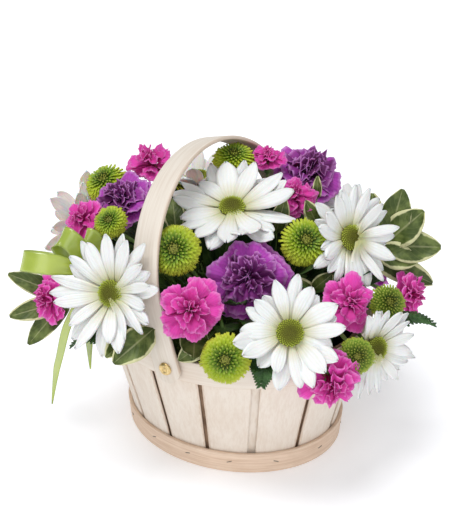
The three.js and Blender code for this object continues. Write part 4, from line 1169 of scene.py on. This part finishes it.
def lay_daisy_head(bm, name):
    """The green of a daisy, and on it a dome of florets in spirals."""
    place = head_frame(BLOOMS[name])
    lay_turned(bm, DAISY_CALYX, 16, place, 1)
    dome = [(0, -4.5), (4.1, -4.5), (4.2, -1.2), (7.8, -0.6), (8.8, -0.2)]
    dome += [(radius, disc_height(radius) - 0.5) for radius in (8.0, 6.4, 4.6, 2.6, 1.2, 0)]
    lay_turned(bm, dome, 20, place, 2, 0.45)
    tone_layer = bm.verts.layers.float["tone"]
    draw = Random(f"{name} disc")
    for i in range(DISC_FLORETS):
        part = sqrt((i + 0.5) / DISC_FLORETS)
        radius = part * (DOME_RADIUS - 0.6)
        turn = i * GOLDEN_TURN
        lean = around(part * 0.75, turn, 1).normalized()
        centre = around(radius, turn, disc_height(radius) - 0.25)
        size = mix(0.38, 0.58, part) * draw.uniform(0.85, 1.15)
        shape = place @ frame_at(centre, lean) @ Matrix.Diagonal((size, size, size * 1.9, 1))
        made = bmesh.ops.create_icosphere(bm, subdivisions=1, radius=1, matrix=shape)["verts"]
        for vert in made:
            vert[tone_layer] = clamp(part + draw.uniform(-0.06, 0.06))
        for face in {face for vert in made for face in vert.link_faces}:
            face.material_index = 2


# Carnations


def lay_ruffle(bm, place, radius, turn, whorl, draw):
    """One carnation petal: a claw that rises and opens to a waved and finely toothed fan."""
    phase, second = draw.uniform(0, 6.28), draw.uniform(0, 6.28)
    ruffle = whorl.ruffle
    waves = mix(2.6, 6.4, ruffle) * draw.uniform(0.85, 1.15)
    swell = radius * mix(0.07, 0.12, ruffle) * draw.uniform(0.7, 1.4)
    uneven = (0.86, 1.03) if radius > LARGE_CARNATION else (0.78, 1.07)
    reach = radius * whorl.reach * draw.uniform(*uneven)
    height = radius * (whorl.height + draw.uniform(-0.1 - 0.12 * ruffle, 0.08))
    spread = radians(whorl.spread)
    opening = mix(1.4, 2.3, ruffle)
    columns = 16 if ruffle < 0.4 else 12
    lobed = 0.045 + 0.035 * ruffle

    def profile(v):
        out = mix(radius * 0.06, reach, v**opening)
        up = mix(-radius * 0.44, height, 1 - (1 - v) ** 1.9) - radius * 0.09 * (1 - ruffle) * v**5
        return out, up

    def spot(u, v):
        out, up = profile(v)
        ahead, behind = profile(min(1, v + 0.05)), profile(max(0, v - 0.05))
        slope = Vector((ahead[0] - behind[0], ahead[1] - behind[1])).normalized()
        wave = sin(u * waves + phase) * v**2 + 0.5 * sin(u * waves * 2.6 + second) * v**4
        out -= slope.y * wave * swell
        up += slope.x * wave * swell
        tooth = 1 if round((u + 1) / 2 * columns) % 2 else -1
        edge = radius * (0.016 * tooth - 0.2 * abs(u) ** 3 + lobed * sin(u * 4.4 + second))
        edge *= smooth(v, 0.6, 1)
        out += slope.x * edge
        up += slope.y * edge
        return place @ around(out, turn + u * spread * mix(0.3, 1, v), up)

    # The tone is low on crumpled inner petals, which ruffle_finish darkens with painted shade.
    tone = clamp(1 - ruffle * 0.75 + draw.uniform(-0.12, 0.12))
    lay_grid(bm, columns, 6, spot, tone=tone)


def lay_carnation(bm, name):
    """Petals in whorls, from a broad skirt at the edge to a crumpled heart."""
    bloom = BLOOMS[name]
    radius = bloom.radius * ENLARGED.get(name, 1)
    place = head_frame(bloom)
    draw = Random(name)
    for tier, whorl in enumerate(LARGE_WHORLS if radius > LARGE_CARNATION else SMALL_WHORLS):
        for i in range(whorl.petals):
            turn = 2 * pi * (i + 0.5 * (tier % 2) + 0.35 * (draw.random() - 0.5)) / whorl.petals
            lay_ruffle(bm, place, radius, turn + tier * 0.7, whorl, draw)


def lay_carnation_green(bm, name):
    """The tubular calyx, with bracts at its foot and a wider mouth."""
    bloom = BLOOMS[name]
    radius = bloom.radius
    back = -back_depth(bloom)
    wide = radius * 0.2
    profile = (
        (0, back), (2.0, back), (2.8, back + 0.9), (2.6, back + 2.4), (wide * 0.86, back + 4.2),
        (wide, back + 8), (wide * 1.3, -radius * 0.4), (wide * 1.1, -radius * 0.36),
        (0, -radius * 0.4),
    )
    lay_turned(bm, profile, 14, head_frame(bloom), 1)


# Buttons


def lay_button(bm, name):
    """A flattened ball of spoon-shaped florets in spirals, closed at the heart."""
    radius = BLOOMS[name].radius
    place = head_frame(BLOOMS[name])
    draw = Random(name)
    tint = GREEN_TINT if name in GREEN_BUTTONS else 1
    flat = BUTTON_FLATNESS
    turns = [pi * (1 - step / 9) for step in range(1, 9)]
    core = [(radius * 0.66 * sin(turn), radius * 0.62 * flat * cos(turn)) for turn in turns]
    core = [(0, -radius * 0.5), *core, (0, radius * 0.55 * flat)]
    lay_turned(bm, core, 16, place, tone=0.0)
    for i in range(BUTTON_FLORETS):
        part = (i + 0.5) / BUTTON_FLORETS
        lean = acos(1 - part * (1 - cos(BUTTON_LAST_LEAN)))
        heart = smooth(lean, 0.1, 1.0)
        outer = smooth(lean, 0.9, 1.5)
        half = radius * mix(0.036, 0.07, heart) * (1 + 0.15 * outer)
        tip_size = radius * mix(0.84, 1.0, heart) * draw.uniform(0.93, 1.04)
        tip_size *= 1 + outer * draw.uniform(-0.06, 0.06)
        foot_size = radius * mix(0.64, 0.68, heart)
        tip_lean = lean + draw.uniform(-0.04, 0.06)
        foot_lean = max(0.02, lean - 0.3 * heart - 0.16 * outer)
        out = around(1, i * GOLDEN_TURN)

        def at(angle, size):
            point = out * (size * sin(angle))
            point.z = size * cos(angle) * (flat if angle < 1.57 else 0.85)
            return point

        foot = at(foot_lean, foot_size)
        tip = at(tip_lean, tip_size)
        side = Vector((-out.y, out.x, 0))
        inner = side.cross((tip - foot).normalized())
        if inner.dot(Vector((0, 0, 1)) - out * 0.5) < 0:
            inner.negate()

        def spot(u, v):
            width = half * (0.7 + 0.3 * v) * (1 if v < 0.74 else 0.5)
            cup = half * (0.8 * u * u + 0.5 * v**3)
            return place @ (foot.lerp(tip, v) + side * (u * width) + inner * cup)

        tone = clamp(part**0.7 + draw.uniform(-0.07, 0.07))
        lay_grid(bm, 2, 4, spot, tone=tone * tint)


# How each kind of spray is finished: its slot, the finish of its petals and their thickness
SPRAY_FINISHES = {
    "daisy": ("daisy_green", None, 0),
    "carnation": ("carnation_purple", PURPLE, 0.35),
    "mini": ("carnation_magenta", MAGENTA, 0.35),
    "button": ("button_green", BUTTON_LIME, 0.4),
}


def make_sprays():
    """Each spray: its stems and green parts, and its blooms in their own finishes."""
    for node, (azimuth, reach, names) in SPRAYS.items():
        mouth = polar(azimuth, reach, FOAM_TOP)
        slot, finish, thickness = SPRAY_FINISHES[node.split("_")[0]]
        green, petals = new_mesh(), new_mesh()
        for i, name in enumerate(names.split()):
            bloom = BLOOMS[name]
            facing = aim(*bloom.face)
            end = polar(*bloom.at) + facing * (1 - back_depth(bloom))
            line = stem_line(mouth, end, facing, name in LOW_BLOOMS, rooted=i == 0)
            lay_tube(green, line, lambda part: STEM_RADIUS * mix(1, 0.8, part))
            if bloom.kind == "daisy":
                lay_daisy_head(green, name)
            elif bloom.kind == "carnation":
                lay_carnation_green(green, name)
                lay_carnation(petals, name)
            else:
                lay_button(petals, name)
        finish_piece(f"{node}_green", green, [STEM_GREEN, CALYX_GREEN, DISC_YELLOW], slot, [node])
        if finish:
            finish_piece(f"{node}_florets", petals, [finish], slot, (), thickness, 0.0005)
        else:
            petals.free()


# Leaves


def lay_leaf(bm, root, tip, half_width, phase, show, tone=0.5, columns=8, rows=14, bow=3.0):
    """A leaf that shows its upper side one way: arched, folded at its rib, with waved sides."""
    along = tip - root
    length = along.length
    along.normalize()
    over = (show - along * show.dot(along)).normalized()
    across = along.cross(over)

    def spot(u, v):
        arch = bow * sin(pi * v)
        wave = 1.15 * sin(v * 11 + phase + u * 1.6) * abs(u) ** 1.5
        wave += 0.5 * sin(v * 23 + phase * 2 + u) * abs(u) ** 2
        shape = sin(pi * clamp(0.06 + 0.92 * v**1.05)) ** 0.72
        half = mix(0.9, half_width, smooth(v, 0, 0.2)) * max(0.06, shape)
        fold = half_width * 0.16 * (abs(u) - 0.5) * smooth(v, 0.02, 0.2)
        return root + along * (length * v) + over * (arch + wave + fold) + across * (u * half)

    lay_grid(bm, columns, rows, spot, tone=tone)


def finish_leaves(stems_name, stems, leaves_name, leaves, finish, thickness, replaced=()):
    finish_piece(stems_name, stems, [STEM_GREEN], "leaf_variegated", replaced)
    finish_piece(leaves_name, leaves, [finish], "leaf_variegated", thickness=thickness)


def make_sprigs():
    """The leafy sprigs, each leaf on its stem or on a stalk of its own."""
    for node, (entry, tip, wider, show, leaves) in SPRIGS.items():
        mouth = polar(*entry, FOAM_TOP)
        end = polar(*tip)
        line = stem_line(mouth, end, (end - mouth).normalized(), steps=24)
        stems, blades = new_mesh(), new_mesh()
        draw = Random(node)
        lay_tube(stems, line, lambda part: mix(1.4, 0.9, part))
        for i, (part, leaf_tip, half_width, *stalk) in enumerate(leaves):
            root = line[1 + round(min(part, 0.99) * 24)]
            if stalk:
                joint = polar(*stalk[0])
                lay_tube(stems, [root, root.lerp(joint, 0.5), joint], 0.9, 6)
                root = joint
            half = half_width * wider
            lay_leaf(blades, root, polar(*leaf_tip), half, i * 1.7, show, draw.random())
        finish_leaves(f"{node}_stems", stems, f"{node}_leaves", blades, LEAF_CREAM, 0.5, [node])


def make_ferns():
    """Each fern tip: an arched rib with toothed leaflets that shorten towards its end."""
    for node, (entry, first, last, rib_part, leaflet_part) in FERNS.items():
        start, end = polar(*first), polar(*last)
        heading = (end - start).normalized()
        side = Vector((-heading.y, heading.x, 0)).normalized()
        over = heading.cross(side)
        length = (end - start).length * rib_part
        green, blades = new_mesh(), new_mesh()
        line = stem_line(polar(*entry, FOAM_TOP), start + heading * 3, heading, True)
        lay_tube(green, line, 1.2)
        draw = Random(node)

        def rib(part):
            return start + heading * (length * part) + over * (4 * sin(pi * part))

        lay_tube(green, [rib(i / 12) for i in range(13)], lambda part: mix(0.8, 0.25, part), 6)
        for i in range(FERN_PAIRS):
            part = (i + 0.3) / FERN_PAIRS
            size = length * leaflet_part * (1 - 0.74 * part)
            root = rib(part)
            for sign in (-1, 1):
                way = (side * sign + heading * (0.5 + 0.5 * part)).normalized()
                breadth = (heading - way * heading.dot(way)).normalized()
                droop = draw.uniform(0.04, 0.16)
                phase = draw.random()

                def spot(u, v):
                    tooth = 1.0 if round(v * 12) % 2 else 0.55
                    half = size * 0.3 * sin(pi * (0.14 + 0.82 * v)) * tooth
                    point = root + way * (size * v) - over * (droop * size * v * v)
                    return point + breadth * (u * half) + over * (0.3 * abs(u) * sin(6 * v + phase))

                lay_grid(blades, 2, 12, spot, tone=phase)
        finish_piece(f"{node}_rib", green, [FERN_GREEN], "fern_green", [node])
        finish_piece(f"{node}_leaflets", blades, [FERN_GREEN], "fern_green", thickness=0.35)


def make_fill_leaves():
    """Dark leaves on short stalks between the blooms, where nothing else stands."""
    balls = head_balls() + handle_balls()
    draw = Random("fill leaves")
    blades, stalks = new_mesh(), new_mesh()
    for i in range(FILL_LEAVES):
        part = (i + 0.5) / FILL_LEAVES
        azimuth = degrees(i * GOLDEN_TURN)
        turn = radians(azimuth)
        lean = radians(mix(8, 88, part))
        root = polar(azimuth, 16 + 46 * part, FOAM_TOP + 3)
        reach = mix(34, 46, draw.random())
        dome = Vector((sin(lean) * 108, sin(lean) * 100, cos(lean) * 48))
        tip = Vector((0, 0, 118)) + Vector((dome.x * cos(turn), dome.y * sin(turn), dome.z))
        if any((tip - ball).length < size + 1 for ball, size in balls):
            tip = root.lerp(tip, 0.72)
        if any((tip - ball).length < size - 2 for ball, size in balls):
            continue
        base = root.lerp(tip, clamp(1 - reach / max((tip - root).length, 1), 0.05, 0.6))
        lay_tube(stalks, [root + Vector((0, 0, -5)), root.lerp(base, 0.5), base], 0.8, 5)
        half = draw.uniform(6, 9)
        lay_leaf(blades, base, tip, half, draw.uniform(0, 6), SHOW_UP, draw.random(), 6, 9, 2.0)
    finish_leaves("fill_leaf_stalks", stalks, "fill_leaves", blades, LEAF_DARK, 0.45)


def make_peep_leaves():
    draw = Random("peep leaves")
    blades, stalks = new_mesh(), new_mesh()
    for root, tip, half in PEEP_LEAVES:
        base, end = polar(*root), polar(*tip)
        foot = polar(root[0], min(root[1], 56), FOAM_TOP - 4)
        lay_tube(stalks, [foot, foot.lerp(base, 0.5), base + (end - base) * 0.06], 0.8, 6)
        lay_leaf(blades, base, end, half, draw.uniform(0, 6), SHOW_FRONT, draw.uniform(0.3, 0.9))
    finish_leaves("peep_leaf_stalks", stalks, "peep_leaves", blades, LEAF_CREAM, 0.45)


# Foam under moss


def make_moss_bed():
    """The foam's form under an uneven pillow of moss."""
    bm = new_mesh()

    def spot(u, v):
        radius, height = FOAM_PROFILE[round(v * (len(FOAM_PROFILE) - 1))]
        point = around(radius, pi * u, height, oval_at(height))
        if height > MOSS_FROM:
            point.z += 1.6 * noise.noise(point * 0.09) + 0.8 * noise.noise(point * 0.3)
        return point

    lay_grid(bm, 72, len(FOAM_PROFILE) - 1, spot, tone=0.4)
    finish_piece("foam_moss_bed", bm, [MOSS], "wet_foam", ["foam"])


def make_moss_tufts():
    bm = new_mesh()
    draw = Random("moss tufts")
    for _ in range(MOSS_TUFTS):
        reach = MOSS_REACH * sqrt(draw.random())
        turn = draw.uniform(0, 2 * pi)
        beyond = max(0, reach - MOSS_LEVEL_REACH) / (MOSS_REACH - MOSS_LEVEL_REACH)
        height = mix(FOAM_TOP, 95, beyond)
        root = around(reach, turn, height - 0.6, 0.9)
        way = Vector((draw.uniform(-1, 1), draw.uniform(-1, 1), draw.uniform(0.5, 1.4)))
        way.normalize()
        side = way.orthogonal().normalized()
        length = draw.uniform(3, 7)

        def spot(u, v):
            half = 0.75 * sin(pi * (0.15 + 0.8 * v))
            return root + way * (length * v) + side * (u * half) - Vector((0, 0, 1.2 * v * v))

        lay_grid(bm, 1, 3, spot, tone=draw.random())
    finish_piece("moss_tufts", bm, [MOSS], "wet_foam", thickness=0.3)


# The bow


def ribbon_curve(points, part):
    """A smooth curve through points."""
    spans = len(points) - 1
    i = min(int(part * spans), spans - 1)
    t = part * spans - i
    p1, p2 = points[i], points[i + 1]
    p0 = points[i - 1] if i > 0 else p1 * 2 - p2
    p3 = points[i + 2] if i + 2 <= spans else p2 * 2 - p1
    return (
        p1 * 2 + (p2 - p0) * t + (p0 * 2 - p1 * 5 + p2 * 4 - p3) * t**2
        + (p1 * 3 - p0 - p2 * 3 + p3) * t**3
    ) / 2


def lay_ribbon(bm, points, width, is_tail, rows):
    """A length of ribbon, pleated where it is gathered at the knot; returns its length."""
    line = [ribbon_curve(points, i / rows) for i in range(rows + 1)]
    lengths = [0.0]
    for before, after in zip(line, line[1:]):
        lengths.append(lengths[-1] + (after - before).length)
    sides = []
    for i in range(rows + 1):
        along = (line[min(i + 1, rows)] - line[max(i - 1, 0)]).normalized()
        side = (width - along * width.dot(along)).normalized()
        if sides and side.dot(sides[-1][0]) < 0:
            side.negate()
        sides.append((side, along.cross(side)))
    half = RIBBON_WIDTH * (TAIL_HALF_WIDTH if is_tail else LOOP_HALF_WIDTH)

    def spot(u, v):
        row = round(v * rows)
        part = lengths[row] / lengths[-1]
        from_knot = part if is_tail else min(part, 1 - part)
        spread = smooth(from_knot, 0.0, 0.24)
        across = u
        if is_tail:
            across = mix(u, 1 - (1 - u) * 0.04, clamp((part - 1 + TAIL_CUT) / TAIL_CUT))
        side, over = sides[row]
        pleat = 1.3 * cos(u * 7) * (1 - spread) + 0.4 * sin(part * 9 + u)
        return line[row] + side * (across * half * mix(0.3, 1, spread)) + over * pleat

    lay_grid(bm, 8, rows, spot)
    return lengths[-1]


def lay_knot(bm, knot):
    """The ribbon wound round the middle of the bow, creased and drawn in."""
    place = frame_at(knot, Vector((0.42, -0.86, 0.2)).normalized())

    def spot(u, v):
        pinch = 1 - 0.18 * cos((v - 0.5) * pi * 2)
        body = 5.2 * pinch + 0.35 * sin(v * 19) * cos(pi * u)
        if v in (0, 1):
            body *= 0.55
        return place @ Vector(((v - 0.5) * 11, body * cos(pi * u), body * 0.85 * sin(pi * u)))

    lay_grid(bm, 24, 10, spot)


def make_bow():
    """The bow of loops and tails, its knot, and the wire pick that it is tied to."""
    knot = polar(*KNOT)
    ribbon = new_mesh()
    length = 0
    for width, points in LOOPS:
        line = [knot, *[polar(*point) for point in points], knot + Vector((0, 0, 0.5))]
        length += lay_ribbon(ribbon, line, Vector(width), False, 48)
    for width, points in TAILS:
        line = [knot, *[polar(*point) for point in points]]
        length += lay_ribbon(ribbon, line, Vector(width), True, 30)
    area = sum(face.calc_area() for face in ribbon.faces)
    bow = finish_piece(
        "ribbon_bow_satin", ribbon, [SATIN], "satin_ribbon", ["ribbon_bow"], 0.3, 0.0005
    )
    wrap = new_mesh()
    lay_knot(wrap, knot)
    finish_piece("ribbon_knot", wrap, [SATIN], "satin_ribbon")
    length / 1000
    min(area, RIBBON_WIDTH * length) / 1e6
    entry = polar(*PICK_ENTRY, FOAM_TOP)
    wire = new_mesh()
    lay_tube(wire, stem_line(entry, knot, (knot - entry).normalized()), PICK_RADIUS)
    finish_piece("bow_pick_wire", wire, [WIRE_GREEN], "green_wire", ["bow_pick"])


make_staves()
make_hoop("base_hoop", 0, BASE_HOOP_HEIGHT, HOOP_WOOD, "bare_wood", 0.7)
make_hoop("rim_hoop", RIM_HOOP_BOTTOM, BASKET_HEIGHT, HOOP_PAINT, "painted_wood", 2.1)
make_handle()
make_rivets()
make_staples()
for node, finish in (("base_board", BOARD_WOOD), ("inner_wall", WALL_PAINT_AND_GAP_SHADE), ("liner", LINER_FILM)):
    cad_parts[node].material_slots[0].material = finish
make_sprays()
for daisy_name in BLOOM_KINDS["daisy"]:
    make_daisy_rays(daisy_name)
make_sprigs()
make_ferns()
make_fill_leaves()
make_peep_leaves()
make_moss_bed()
make_moss_tufts()
make_bow()

# The floor, the lights and the camera, in metres

FLOOR_HALF = 60
FLOOR_DROP = 0.0004
FLOOR_GLOW = 0.25
SKY_STRENGTH = 0.42
CAMERA_LENS = 97.0
CAMERA_SENSOR = 36
CAMERA_PLACE = Vector((0.4123, -0.7400, 0.5947))
CAMERA_RIGHT = Vector((0.8697, 0.4937, 0))
CAMERA_BACK = Vector((0.4334, -0.7636, 0.4787))


def make_floor():
    bm = bmesh.new()
    bmesh.ops.create_grid(bm, x_segments=1, y_segments=1, size=FLOOR_HALF)
    mesh = bpy.data.meshes.new("floor")
    bm.to_mesh(mesh)
    bm.free()
    floor = add_object("floor", mesh)
    floor.location.z = -FLOOR_DROP
    glow = {"Emission_Color": (1, 1, 1, 1), "Emission_Strength": FLOOR_GLOW}
    finish = Finish("pale_floor", 0.1, **glow)
    colour = finish.blend(finish.clouds(3, 2), (0.88, 0.89, 0.92, 1), (0.9, 0.91, 0.94, 1))
    mesh.materials.append(finish.paint(colour, 0.9))


def add_sun(name, travel, strength, spread, casts=True):
    lamp = bpy.data.lights.new(name, "SUN")
    lamp.energy = strength
    lamp.angle = radians(spread)
    lamp.use_shadow = casts
    light = add_object(name, lamp)
    light.rotation_euler = Vector(travel).to_track_quat("-Z", "Y").to_euler()


def make_lights():
    world = bpy.data.worlds.new("studio")
    world.use_nodes = True
    sky = world.node_tree.nodes["Background"].inputs
    sky["Color"].default_value = (0.95, 0.975, 1, 1)
    sky["Strength"].default_value = SKY_STRENGTH
    SCENE.world = world
    add_sun("key", (0.19, 0.22, -1.25), 1.76, 30)
    add_sun("front fill", (-0.3, 0.85, -0.5), 0.66, 50)
    add_sun("side fill", (-0.9, 0.25, -0.35), 0.3, 60, casts=False)


def make_camera():
    lens = bpy.data.cameras.new("camera")
    lens.lens = CAMERA_LENS
    lens.sensor_width = CAMERA_SENSOR
    lens.clip_start = 0.01
    camera = add_object("camera", lens)
    up = CAMERA_BACK.cross(CAMERA_RIGHT)
    turned = Matrix((CAMERA_RIGHT, up, CAMERA_BACK)).transposed().to_4x4()
    turned.translation = CAMERA_PLACE
    camera.matrix_world = turned
    SCENE.camera = camera


make_floor()
make_lights()
make_camera()
SCENE.view_settings.view_transform = "Standard"
